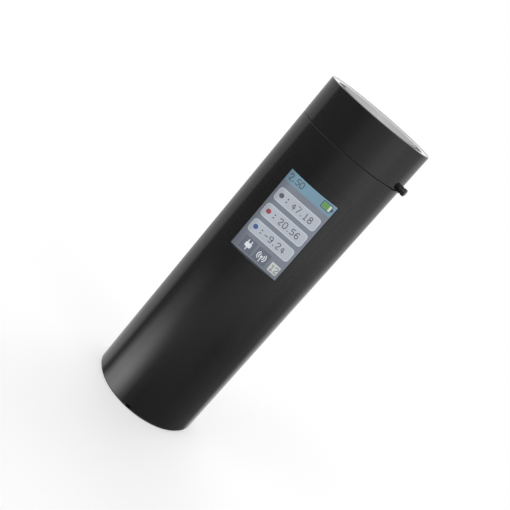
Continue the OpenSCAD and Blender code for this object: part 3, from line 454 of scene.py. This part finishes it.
# The header band and its number: place, digit height and pitch
HEADER_H = 5.1
HEADER_X, HEADER_Y, HEADER_DIGIT_H, HEADER_PITCH = 0.9, 1.35, 2.5, 2.05

# The battery mark: its case with its wall, its knob, and the levels in it
CELL_X0, CELL_X1, CELL_Y0, CELL_Y1, CELL_WALL = 17.2, 21.9, 0.85, 4.0, 0.3
KNOB_W, KNOB_INSET = 0.65, 1.0
CELL_LEVELS, LEVEL_INSET = [("charge", "green", 17.6, 20.6), ("spare", "pale", 20.6, 21.5)], 0.4

# The channel boxes: top, foot and reading of each, and their common left, right, corner and border
CHANNELS = [(7.8, 13.75, "47.18"), (15.8, 21.9, "20.56"), (23.9, 29.9, "-9.24")]
BOX_X0, BOX_X1, BOX_ROUND, BOX_BORDER = 1.2, 22.0, 1.4, 0.4
DOT_X, DOT_R = 3.6, 1.05
COLON_X, COLON_R = 6.63, 0.28
COLON_DY = (-0.62, 0.78)
READING_X, MINUS_X = 9.0, 8.3

# The tool boxes: left and right of each, and their common top, foot, dashes and line width
TOOLS = ((3.05, 8.9), (10.05, 16.05))
TOOL_Y0, TOOL_Y1, TOOL_INSET = 31.75, 37.4, 0.2
DASHES, DASH_SHARE, DASH_START, DASH_W = 7, 0.6, 0.2, 0.22
PLUG_AT = (6.0, 33.6)
MAST_AT = (13.05, 34.6)

# The count's box, and its digits: inset from the box's corner, pitch and stroke width
COUNT_X0, COUNT_X1, COUNT_Y0, COUNT_Y1 = 17.75, 22.1, 33.0, 37.1
COUNT_DX, COUNT_DY, COUNT_PITCH, COUNT_W = 0.4, 0.75, 1.95, 0.36

# Digits as strokes on a grid 4 wide and 6 high, y down
DIGITS = {
    "0": [[(0.2, 1.4), (0.2, 4.6), (0.9, 5.8), (2, 6), (3.1, 5.8), (3.8, 4.6), (3.8, 1.4),
           (3.1, 0.2), (2, 0), (0.9, 0.2), (0.2, 1.4)]],
    "1": [[(0.9, 1.2), (2.2, 0), (2.2, 6)], [(0.9, 6), (3.5, 6)]],
    "2": [[(0.3, 1.5), (0.6, 0.4), (2, 0), (3.4, 0.4), (3.7, 1.6), (3.2, 2.8), (0.3, 6), (3.8, 6)]],
    "4": [[(2.9, 6), (2.9, 0), (0.2, 4.2), (4, 4.2)]],
    "5": [[(3.6, 0), (0.7, 0), (0.5, 2.8), (1.9, 2.3), (3.4, 2.8), (3.8, 4.2), (3.2, 5.6),
           (1.8, 6), (0.3, 5.4)]],
    "6": [[(3.4, 0.6), (2.2, 0), (0.9, 0.8), (0.3, 2.6), (0.3, 4.4), (0.8, 5.6), (2, 6),
           (3.3, 5.6), (3.8, 4.3), (3.3, 3), (2, 2.6), (0.8, 3), (0.3, 4.2)]],
    "7": [[(0.3, 0), (3.8, 0), (1.6, 6)]],
    "8": [[(2, 0), (0.8, 0.4), (0.5, 1.4), (0.9, 2.5), (2, 2.8), (3.1, 2.5), (3.5, 1.4),
           (3.2, 0.4), (2, 0)],
          [(2, 2.8), (0.7, 3.2), (0.2, 4.4), (0.7, 5.7), (2, 6), (3.3, 5.7), (3.8, 4.4),
           (3.3, 3.2), (2, 2.8)]],
    "9": [[(0.6, 5.5), (1.8, 6), (3.1, 5.4), (3.7, 3.6), (3.7, 1.7), (3.2, 0.4), (2, 0),
           (0.7, 0.4), (0.2, 1.7), (0.7, 3), (2, 3.4), (3.2, 3), (3.7, 1.8)]],
    "-": [[(0.4, 3.2), (3.6, 3.2)]],
}
DIGIT_ROWS = 6
# How far an open stroke reaches past its ends, in stroke widths
STROKE_END = 0.3
# A point in a reading: its place in the pitch, the room it takes, and its size and rise in stroke widths
POINT_X, POINT_PITCH, POINT_R, POINT_RISE = 0.22, 0.62, 0.75, 0.55


def lit(colour, drift):
    """Backlit surface: its light through the panel's pixel grid, under glossy glass."""
    def build(n):
        p = n.place()
        x, _, z = n.split(p)
        columns = n.stripes(x, PIXELS_PER_M, GAP_FROM, GAP_TO, COLUMN_GAP, 1.0)
        rows = n.stripes(z, PIXELS_PER_M, GAP_FROM, GAP_TO, ROW_GAP, 1.0)
        cloud = n.vary(n.noise(p, 90, 2), 1.0 - drift, 1.0 + drift)
        side = n.span(x, LEFT_FROM, LEFT_TO, LEFT_LEVEL, 1.0, smooth=True)
        foot = n.span(z, SCREEN_LOW.z, FOOT_TO, FOOT_LEVEL, 1.0, smooth=True)
        level = n.times(n.times(columns, rows), cloud)
        level = n.times(level, n.times(side, foot))
        light = tuple(linear(step) for step in colour)
        return {"Base Color": (0.01, 0.01, 0.012), "Emission Color": n.blend(level, grey(0), light),
                "Emission Strength": 1.0, "Roughness": n.span(cloud, 0.9, 1.1, 0.07, 0.12)}
    return build


class Sheet:
    """Flat shapes over the screen's face, all at one height in mm."""

    def __init__(self, lift):
        self.lift = lift
        self.points = []
        self.faces = []

    def add_points(self, outline):
        for x, y in outline:
            self.points.append((SCREEN_LOW.x + x * MM, GLASS_Y - self.lift * MM, SCREEN_HIGH.z - y * MM))

    def bridge(self, count):
        """Faces between the last two rings of count points."""
        start = len(self.points) - 2 * count
        for i in range(count):
            j = (i + 1) % count
            self.faces.append([start + i, start + j, start + count + j, start + count + i])

    def polygon(self, outline):
        start = len(self.points)
        self.add_points(outline)
        self.faces.append(list(range(start, start + len(outline))))

    def border(self, outer, inner):
        """Faces between two outlines that have the same number of points."""
        self.add_points(outer + inner)
        self.bridge(len(outer))

    def stroke(self, path, width):
        """A ribbon of constant width along a path, closed where the path ends at its start."""
        closed = path[0] == path[-1]
        points = path[:-1] if closed else path
        count = len(points)
        left, right = [], []
        for i, (x, y) in enumerate(points):
            first, last = not closed and i == 0, not closed and i == count - 1
            before = points[i] if first else points[i - 1]
            after = points[i] if last else points[(i + 1) % count]
            dx, dy = after[0] - before[0], after[1] - before[1]
            size = math.hypot(dx, dy)
            dx, dy = dx / size * width, dy / size * width
            reach = STROKE_END * (last - first)
            x, y = x + dx * reach, y + dy * reach
            left.append((x - dy / 2, y + dx / 2))
            right.append((x + dy / 2, y - dx / 2))
        for i in range(count if closed else count - 1):
            j = (i + 1) % count
            self.polygon([left[i], left[j], right[j], right[i]])

    def wrap(self, outer, inner):
        """A frame that lies on the tube's curve, from outer to inner mm inside the screen's edge."""
        for inset in (outer, inner):
            width = SCREEN_W - 2 * inset
            across = [inset + width * k / OUTLINE_STEPS for k in range(OUTLINE_STEPS + 1)]
            ring = [(x, inset) for x in across] + [(x, SCREEN_H - inset) for x in reversed(across)]
            for x, y in ring:
                at = SCREEN_LOW.x + x * MM
                reach = math.sqrt((TUBE_R + self.lift * MM) ** 2 - at ** 2)
                self.points.append((at, -reach, SCREEN_HIGH.z - y * MM))
        self.bridge(2 * (OUTLINE_STEPS + 1))

    def piece(self, name, finish, slot="screen_glass"):
        """The sheet as a piece of the housing, all its faces to the front."""
        piece = add_mesh(name, self.points, self.faces, finish)
        for face in piece.data.polygons:
            if face.normal.y > 0:
                face.flip()
        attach(piece, "housing")


def rectangle(x0, y0, x1, y1):
    return [(x0, y0), (x1, y0), (x1, y1), (x0, y1)]


def arc(x, y, r, angles):
    return [(x + r * math.cos(angle), y + r * math.sin(angle)) for angle in angles]


def rounded(x0, y0, x1, y1, r, steps=6):
    """Outline of a rectangle with round corners."""
    corners = ((x1 - r, y0 + r, -90), (x1 - r, y1 - r, 0), (x0 + r, y1 - r, 90), (x0 + r, y0 + r, 180))
    outline = []
    for x, y, start in corners:
        outline += arc(x, y, r, [math.radians(start + 90 * k / steps) for k in range(steps + 1)])
    return outline


def disc(x, y, r, steps=20):
    return arc(x, y, r, [2 * math.pi * k / steps for k in range(steps)])


def eased(path):
    """Cuts the corners of a path of four or more points once, for rounder strokes."""
    if len(path) < 4:
        return path
    closed = path[0] == path[-1]
    points = [] if closed else [path[0]]
    for (x0, y0), (x1, y1) in zip(path, path[1:]):
        for share in (0.25, 0.75):
            points.append((x0 + (x1 - x0) * share, y0 + (y1 - y0) * share))
    return points + [points[0] if closed else path[-1]]


def write(sheet, text, x, y, height, pitch, width):
    """Draws digits from the left at x, with their top at y."""
    unit = height / DIGIT_ROWS
    for mark in text:
        if mark == ".":
            sheet.polygon(disc(x + pitch * POINT_X, y + height - width * POINT_RISE, width * POINT_R, 10))
            x += pitch * POINT_PITCH
            continue
        for path in DIGITS[mark]:
            sheet.stroke([(x + px * unit, y + py * unit) for px, py in eased(path)], width)
        x += pitch


def draw_header(made):
    """The header's band, its number and the battery mark."""
    band = Sheet(FILL_LIFT)
    band.polygon(rectangle(0, 0, SCREEN_W, HEADER_H))
    band.piece("screen_header_band", made["header"])

    number = Sheet(MARK_LIFT)
    write(number, "2.50", HEADER_X, HEADER_Y, HEADER_DIGIT_H, HEADER_PITCH, DIGIT_W)
    number.piece("screen_header_number", made["digits"])

    case = Sheet(CELL_LIFT)
    inner = rounded(CELL_X0 + CELL_WALL, CELL_Y0 + CELL_WALL,
                    CELL_X1 - CELL_WALL, CELL_Y1 - CELL_WALL, 0.2, 3)
    case.border(rounded(CELL_X0, CELL_Y0, CELL_X1, CELL_Y1, 0.3, 3), inner)
    case.polygon(rounded(CELL_X1, CELL_Y0 + KNOB_INSET, CELL_X1 + KNOB_W, CELL_Y1 - KNOB_INSET, 0.15, 3))
    case.piece("screen_battery_case", made["digits"])
    for name, colour, x0, x1 in CELL_LEVELS:
        level = Sheet(CELL_LIFT)
        level.polygon(rectangle(x0, CELL_Y0 + LEVEL_INSET, x1, CELL_Y1 - LEVEL_INSET))
        level.piece("screen_battery_" + name, made[colour])


def draw_channels(made):
    """The channel boxes, each with a coloured dot, a colon and a reading."""
    fill, rim, readings = Sheet(FILL_LIFT), Sheet(MARK_LIFT), Sheet(NUMBER_LIFT)
    for index, (top, foot, value) in enumerate(CHANNELS, 1):
        inner = rounded(BOX_X0 + BOX_BORDER, top + BOX_BORDER, BOX_X1 - BOX_BORDER, foot - BOX_BORDER,
                        BOX_ROUND - BOX_BORDER)
        rim.border(rounded(BOX_X0, top, BOX_X1, foot, BOX_ROUND), inner)
        fill.polygon(inner)
        middle = (top + foot) / 2
        dot = Sheet(SIGN_LIFT)
        dot.polygon(disc(DOT_X, middle, DOT_R))
        dot.piece("screen_channel_%.0f" % top, made["dot_%d" % index])
        for dy in COLON_DY:
            y = middle + dy
            readings.polygon(rounded(COLON_X - COLON_R, y - COLON_R, COLON_X + COLON_R, y + COLON_R, 0.12, 2))
        left = MINUS_X if value.startswith("-") else READING_X
        write(readings, value, left, middle - DIGIT_H / 2, DIGIT_H, DIGIT_PITCH, DIGIT_W)
    fill.piece("screen_boxes", made["box"])
    rim.piece("screen_box_borders", made["box_border"])
    readings.piece("screen_numbers", made["digits"])


def draw_dashes(sheet, x0, x1, y0, y1):
    """A dashed border inside a rectangle's edges."""
    for k in range(DASHES):
        x = x0 + (x1 - x0) * (k + DASH_START) / DASHES
        dash = (x1 - x0) / DASHES * DASH_SHARE
        for y in (y0, y1 - DASH_W):
            sheet.polygon(rectangle(x, y, x + dash, y + DASH_W))
        y = y0 + (y1 - y0) * (k + DASH_START) / DASHES
        dash = (y1 - y0) / DASHES * DASH_SHARE
        for x in (x0, x1 - DASH_W):
            sheet.polygon(rectangle(x, y, x + DASH_W, y + dash))


def draw_plug(sheet, x, y):
    """A plug, its body's top at x, y, with two pins up and its cord down."""
    width = 0.42
    sheet.polygon(rounded(x - 1.4, y, x + 1.4, y + 2.0, 0.5))
    for side in (-0.8, 0.8):
        sheet.stroke([(x + side, y + 0.1), (x + side, y - 1.1)], width)
    sheet.stroke([(x, y + 1.9), (x, y + 3.2)], width)


def draw_mast(sheet, x, y):
    """A mast with its head at x, y and two waves to each side."""
    width = 0.38
    sheet.polygon(disc(x, y, 0.5))
    sheet.stroke([(x, y + 0.1), (x, y + 2.3)], width)
    for r in (1.15, 1.95):
        for side in (0, 180):
            sheet.stroke(arc(x, y, r, [math.radians(side + turn) for turn in range(-50, 51, 10)]), width)


def draw_tools(made):
    """Two tool boxes with dashed borders, a plug and a mast in them, and the count."""
    borders, grounds, icons = Sheet(MARK_LIFT), Sheet(FILL_LIFT), Sheet(SIGN_LIFT)
    for x0, x1 in TOOLS:
        draw_dashes(borders, x0, x1, TOOL_Y0, TOOL_Y1)
        grounds.polygon(rectangle(x0 + TOOL_INSET, TOOL_Y0 + TOOL_INSET,
                                  x1 - TOOL_INSET, TOOL_Y1 - TOOL_INSET))
    draw_plug(icons, *PLUG_AT)
    draw_mast(icons, *MAST_AT)
    borders.piece("screen_tool_borders", made["digits"])
    grounds.piece("screen_tool_grounds", made["tool_ground"])
    icons.piece("screen_icons", made["white"])

    box = Sheet(FILL_LIFT)
    box.polygon(rounded(COUNT_X0, COUNT_Y0, COUNT_X1, COUNT_Y1, 0.3))
    box.piece("screen_count_box", made["pale"])
    count = Sheet(SIGN_LIFT)
    write(count, "12", COUNT_X0 + COUNT_DX, COUNT_Y0 + COUNT_DY, DIGIT_H, COUNT_PITCH, COUNT_W)
    count.piece("screen_count", made["grey"])


def build_screen():
    made = {name: material("screen_" + name, lit(*look)) for name, look in LIT.items()}
    wear("screen_glass", made["ground"])
    outline = Sheet(OUTLINE_LIFT)
    outline.wrap(OUTLINE_OUTSIDE, OUTLINE_INSIDE)
    edge = material("screen_edge", moulded(grey(0.002), grey(0.005), 0.4, 0.6))
    outline.piece("screen_outline", edge, slot="dark_plastic")
    draw_header(made)
    draw_channels(made)
    draw_tools(made)


# Bush of the side key

KEY_LOW, KEY_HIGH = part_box("side_key")
KEY_Z = (KEY_LOW.z + KEY_HIGH.z) / 2
# The bush's section in mm: radius round the key's axis, and height over the tube's wall
BUSH = [(1.73, -1.2), (1.73, -0.10), (1.80, 0.0), (2.03, 0.012), (2.045, -0.05), (2.045, -1.2)]
BUSH_STEPS = 72


def build_key_bush():
    """Turned bush that lines the side key's hole, its mouth following the tube."""
    out = -Vector(joints["side_key_press"]["axis"])
    side = Vector((-out.y, out.x, 0))
    count = len(BUSH)
    points, faces = [], []
    for k in range(BUSH_STEPS):
        angle = 2 * math.pi * k / BUSH_STEPS
        for r, lift in BUSH:
            across, up = r * MM * math.cos(angle), r * MM * math.sin(angle)
            reach = math.sqrt(TUBE_R ** 2 - across ** 2) + lift * MM
            points.append(out * reach + side * across + Vector((0, 0, KEY_Z + up)))
        here, there = k * count, (k + 1) % BUSH_STEPS * count
        for i in range(count):
            j = (i + 1) % count
            faces.append([here + i, there + i, there + j, here + j])
    bush = add_mesh("side_key_bush", points, faces, material("side_key_bush_finish", black_anodised))
    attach(bush, "housing")


# Return spring

def build_spring():
    """The button's coil spring, in the CAD coil's form, fixed to the housing."""
    coil = add_object("button_spring_coil", nodes["button_spring"].data.copy())
    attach(coil, "housing")
    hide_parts("button_spring")
    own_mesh(coil)


# Studio

# What gloss sees around the part: azimuth in degrees from the camera's side, then brightness
ABOVE = [(-180, 1.0), (-135, 0.95), (-70, 0.60), (0, 0.50), (70, 0.60), (135, 0.95), (180, 1.0)]
# The same on the floor, by the height in mm at which the upright tube mirrors it
ON_FLOOR = {
    130: [(-180, 0.58), (-143, 0.53), (-132, 0.51), (-123, 0.47), (-116, 0.44), (-107, 0.43),
          (-102, 0.14), (-92, 0.14), (-60, 0.125), (-33, 0.125), (-18, 0.17), (-4, 0.26), (24, 0.35),
          (38, 0.47), (47, 0.59), (67, 0.63), (80, 0.53), (90, 0.48), (110, 0.42), (118, 0.38),
          (122, 0.41), (126, 0.47), (133, 0.53), (180, 0.60)],
    73: [(-180, 0.46), (-134, 0.54), (-115, 0.52), (-108, 0.50), (-103, 0.38), (-99, 0.14),
         (-84, 0.16), (-52, 0.165), (-33, 0.165), (-4, 0.30), (23, 0.35), (45, 0.38), (65, 0.36),
         (79, 0.28), (100, 0.31), (113, 0.27), (119, 0.50), (131, 0.64), (145, 0.9), (180, 0.9)],
    46: [(-180, 0.55), (-139, 0.57), (-116, 0.61), (-107, 0.57), (-101, 0.44), (-95, 0.12),
         (-84, 0.22), (-69, 0.54), (-53, 0.66), (-33, 0.38), (-4, 0.27), (23, 0.23), (45, 0.16),
         (64, 0.21), (100, 0.22), (110, 0.20), (114, 0.38), (122, 0.65), (135, 0.9), (180, 0.9)],
    12: [(-180, 0.70), (-131, 0.70), (-106, 0.72), (-100, 0.48), (-94, 0.20), (-88, 0.26),
         (-82, 0.75), (-72, 1.65), (-52, 2.2), (-42, 1.80), (-31, 0.85), (-20, 0.25), (-4, 0.15),
         (43, 0.16), (76, 0.20), (102, 0.22), (110, 0.25), (114, 0.62), (125, 0.9), (180, 0.9)],
}
# The highest level reaches down to this height before it blends into the next
HEAD_LEVEL, HEAD_HOLDS = 130, 104
# Towards the foot the panels spread away from the camera's side, by these shares on its left and right
SPREAD_FROM, SPREAD_TO = 150, 10
SPREAD_LEFT, SPREAD_RIGHT, SPREAD_TURN = 0.105, 0.19, 0.2
# Brightness under the part, and in the sky from one height of the ray to the other
UNDER_PART, UNDER_R = 0.4, 1.01 * TUBE_R
SKY, SKY_FROM, SKY_FULL, HORIZON = 1.0, 0.35, 0.9, 0.02
# A ramp holds at most 1, so the panels' ramps hold brightness over this
GLOSS_SCALE = 2.5

CAMERA_AWAY = math.hypot(CAMERA_AT[0], CAMERA_AT[1])
CAMERA_HIGH = CAMERA_AT[2]
MIRROR_PASSES = 4

WORLD_LIGHT = 0.42
FLOOR_SIZE = 4.0
# For the camera the floor is matt with a glow, and turns white over these radii
FLOOR_MATT, FLOOR_GLOW = 0.50, 0.52
WHITE_FROM, WHITE_FULL = 0.10, 0.30
# How much of the light the floor sends back to the part
FLOOR_BOUNCE = 0.78

# Lamps: place, target, size and power in watts
LAMPS = {
    "key": ((-0.5, -0.5, 0.9), (0, 0, 0.08), (0.6, 0.6), 2.4),
    "fill": ((0.7, -0.4, 0.6), (0, 0, 0.08), (0.5, 0.5), 1.2),
    "top": ((0.0, 0.55, 1.05), (0, 0, 0.14), (0.9, 0.6), 7.0),
}


def bearing(n, x, y):
    """Angle around the part, 0 towards the camera."""
    turn = n.minus(n.math("ARCTAN2", x, n.times(y, -1.0)), VIEW_AZIMUTH)
    return n.math("WRAP", turn, math.pi, -math.pi)


def around(n, angle, stops):
    """Brightness around the part, over GLOSS_SCALE."""
    places = [((degrees + 180) / 360, grey(level / GLOSS_SCALE)) for degrees, level in stops]
    return n.ramp(n.span(angle, -math.pi, math.pi), places)


def mirrored(n, x, y):
    """How the camera sees a floor point in the tube: the bearing in which its light leaves the tube,
    the height in mm where the tube mirrors it, and the point's radius, at least the tube's."""
    radius = n.math("MAXIMUM", n.radius(x, y), TUBE_R)
    turn = bearing(n, x, y)
    share = n.math("DIVIDE", TUBE_R, radius)
    ray = turn
    for _ in range(MIRROR_PASSES):
        lean = n.math("ARCSINE", n.times(share, n.math("SINE", n.times(ray, 0.5))))
        ray = n.math("MINIMUM", n.math("MAXIMUM", n.plus(turn, lean), -math.pi), math.pi)
    facing = n.times(ray, 0.5)
    near = n.times(n.math("COSINE", n.minus(turn, facing)), n.times(radius, 2 * TUBE_R))
    squares = n.plus(n.times(radius, radius), TUBE_R ** 2)
    behind = n.root(n.math("MAXIMUM", n.minus(squares, near), 0.0))
    before = n.minus(CAMERA_AWAY, n.times(n.math("COSINE", facing), TUBE_R))
    height = n.math("DIVIDE", n.times(behind, CAMERA_HIGH), n.plus(behind, before))
    return ray, n.math("DIVIDE", height, MM), radius


def floor_gloss(n, x, y):
    """The floor's panels, which the tube mirrors as straight stripes, and the point's radius."""
    ray, height, radius = mirrored(n, x, y)
    side = n.span(ray, -SPREAD_TURN, SPREAD_TURN, SPREAD_LEFT, SPREAD_RIGHT)
    spread = n.times(n.span(height, SPREAD_FROM, SPREAD_TO), side)
    ray = n.times(ray, n.minus(1.0, spread))
    levels = sorted(ON_FLOOR, reverse=True)
    gloss = around(n, ray, ON_FLOOR[levels[0]])
    for above, level in zip(levels, levels[1:]):
        start = HEAD_HOLDS if above == HEAD_LEVEL else above
        gloss = n.blend(n.span(height, start, level), gloss, around(n, ray, ON_FLOOR[level]))
    under = n.math("LESS_THAN", radius, UNDER_R)
    return n.blend(under, gloss, grey(UNDER_PART / GLOSS_SCALE)), radius


def build_world():
    """Plain light, panels that only gloss sees, and white for the camera and through glass."""
    world = bpy.data.worlds.new("studio")
    world.use_nodes = True
    bpy.context.scene.world = world
    n = Nodes(world.node_tree)
    x, y, z = n.split(n.add("ShaderNodeTexCoord").outputs["Generated"])
    turn = bearing(n, x, y)
    low = around(n, turn, ON_FLOOR[HEAD_LEVEL])
    sky = n.span(z, SKY_FROM, SKY_FULL, smooth=True)
    high = n.blend(sky, around(n, turn, ABOVE), grey(SKY / GLOSS_SCALE))
    gloss = n.blend(n.span(z, -HORIZON, HORIZON), low, high)
    path = n.add("ShaderNodeLightPath").outputs
    plain = n.add("ShaderNodeBackground", {0: grey(1), 1: WORLD_LIGHT}).outputs[0]
    shine = n.add("ShaderNodeBackground", {0: gloss, 1: GLOSS_SCALE}).outputs[0]
    white = n.add("ShaderNodeBackground", {0: grey(1), 1: 1.0}).outputs[0]
    seen = n.mix_shaders(path["Is Glossy Ray"], plain, shine)
    clear = n.math("MAXIMUM", path["Is Camera Ray"], path["Is Transmission Ray"])
    n.add("ShaderNodeOutputWorld", {0: n.mix_shaders(clear, seen, white)})


def floor_finish():
    """White with the part's soft shadow for the camera, panels for gloss, and clear from below."""
    made = bpy.data.materials.new("floor")
    made.use_nodes = True
    n = Nodes(made.node_tree)
    x, y, _ = n.split(n.place())
    gloss, radius = floor_gloss(n, x, y)
    path = n.add("ShaderNodeLightPath").outputs
    matt = n.add("ShaderNodeBsdfDiffuse", {0: grey(FLOOR_MATT)}).outputs[0]
    glow = n.add("ShaderNodeEmission", {0: grey(1), 1: FLOOR_GLOW}).outputs[0]
    shaded = n.add("ShaderNodeAddShader", {0: matt, 1: glow}).outputs[0]
    white = n.add("ShaderNodeEmission", {0: grey(1), 1: 1.0}).outputs[0]
    camera = n.mix_shaders(n.span(radius, WHITE_FROM, WHITE_FULL, smooth=True), shaded, white)
    bounce = n.add("ShaderNodeBsdfDiffuse", {0: grey(FLOOR_BOUNCE)}).outputs[0]
    shine = n.add("ShaderNodeEmission", {0: gloss, 1: GLOSS_SCALE}).outputs[0]
    other = n.mix_shaders(path["Is Glossy Ray"], bounce, shine)
    clear = n.math("MAXIMUM", path["Is Camera Ray"], path["Is Transmission Ray"])
    above = n.mix_shaders(clear, other, camera)
    backfacing = n.add("ShaderNodeNewGeometry").outputs["Backfacing"]
    below = n.times(backfacing, path["Is Camera Ray"])
    through = n.add("ShaderNodeBsdfTransparent").outputs[0]
    n.add("ShaderNodeOutputMaterial", {0: n.mix_shaders(below, above, through)})
    return made


def build_floor():
    """It rides on the cap, which stays on the bench when the instrument is lifted off it."""
    corners = rectangle(-FLOOR_SIZE, -FLOOR_SIZE, FLOOR_SIZE, FLOOR_SIZE)
    floor = add_mesh("floor", [(x, y, 0) for x, y in corners], [(0, 1, 2, 3)], floor_finish())
    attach(floor, "calibration_cap")


def build_lamps():
    """Soft lamps that light the part and don't show in its gloss."""
    for name, (place, target, size, power) in LAMPS.items():
        data = bpy.data.lights.new(name, "AREA")
        data.shape = "RECTANGLE"
        data.size, data.size_y = size
        data.energy = power
        lamp = add_object(name, data)
        lamp.location = place
        lamp.rotation_euler = (Vector(target) - Vector(place)).to_track_quat("-Z", "Y").to_euler()
        lamp.visible_camera = False
        lamp.visible_glossy = False


# Finishes of the CAD nodes

SLOTS = {
    "black_anodised": black_anodised,
    "matt_black_metal": matt_black_metal,
    "bare_aluminium": bare_aluminium,
    "brushed_aluminium": brushed_disc,
    "polished_ring": polished_ring,
    "dark_plastic": moulded((0.014, 0.014, 0.015), (0.030, 0.030, 0.032), 0.38, 0.52, 3800, 0.15),
    "black_gloss": black_gloss,
    "black_rubber": black_rubber,
    "clear_glass": clear_glass,
    "white_ceramic": white_ceramic,
    "board_green": circuit_board((0.012, 0.085, 0.030), (0.022, 0.130, 0.048)),
    "board_white": circuit_board((0.70, 0.70, 0.68), (0.60, 0.61, 0.60)),
    "chip_black": moulded((0.010, 0.010, 0.011), (0.022, 0.022, 0.024), 0.42, 0.55, 4200),
    "lamp_resin": lamp_resin,
    "steel": metal((0.60, 0.60, 0.61), 0.22, 0.36),
    "tin_plate": metal((0.70, 0.71, 0.72), 0.26, 0.38),
    "brass": metal((0.72, 0.55, 0.27), 0.22, 0.34),
    "nickel": metal((0.68, 0.66, 0.61), 0.2, 0.32),
    "cell_sleeve": cell_sleeve,
    "socket_cream": moulded((0.66, 0.61, 0.49), (0.76, 0.71, 0.59), 0.42, 0.55),
    "ribbon_amber": ribbon_amber,
    "foam_grey": foam_grey,
}
OWN = {"guide_ring": dark_ring, "top_shell": shell_finish}


def wear(node, finish):
    materials = nodes[node].data.materials
    materials.clear()
    materials.append(finish)


def dress_nodes():
    """Every CAD node but the screen's glass gets its slot's finish, or its own."""
    made = {slot: material(slot, build) for slot, build in SLOTS.items()}
    for part in frame["record"]["subparts"]:
        name = part["node"]
        if name in OWN:
            wear(name, material(name + "_finish", OWN[name]))
        elif name != "screen_glass":
            wear(name, made[part["material_slot"]])


bpy.context.scene.view_settings.view_transform = "Standard"
make_camera()
build_world()
build_floor()
build_lamps()
dress_nodes()
build_screen()
build_key_bush()
build_spring()
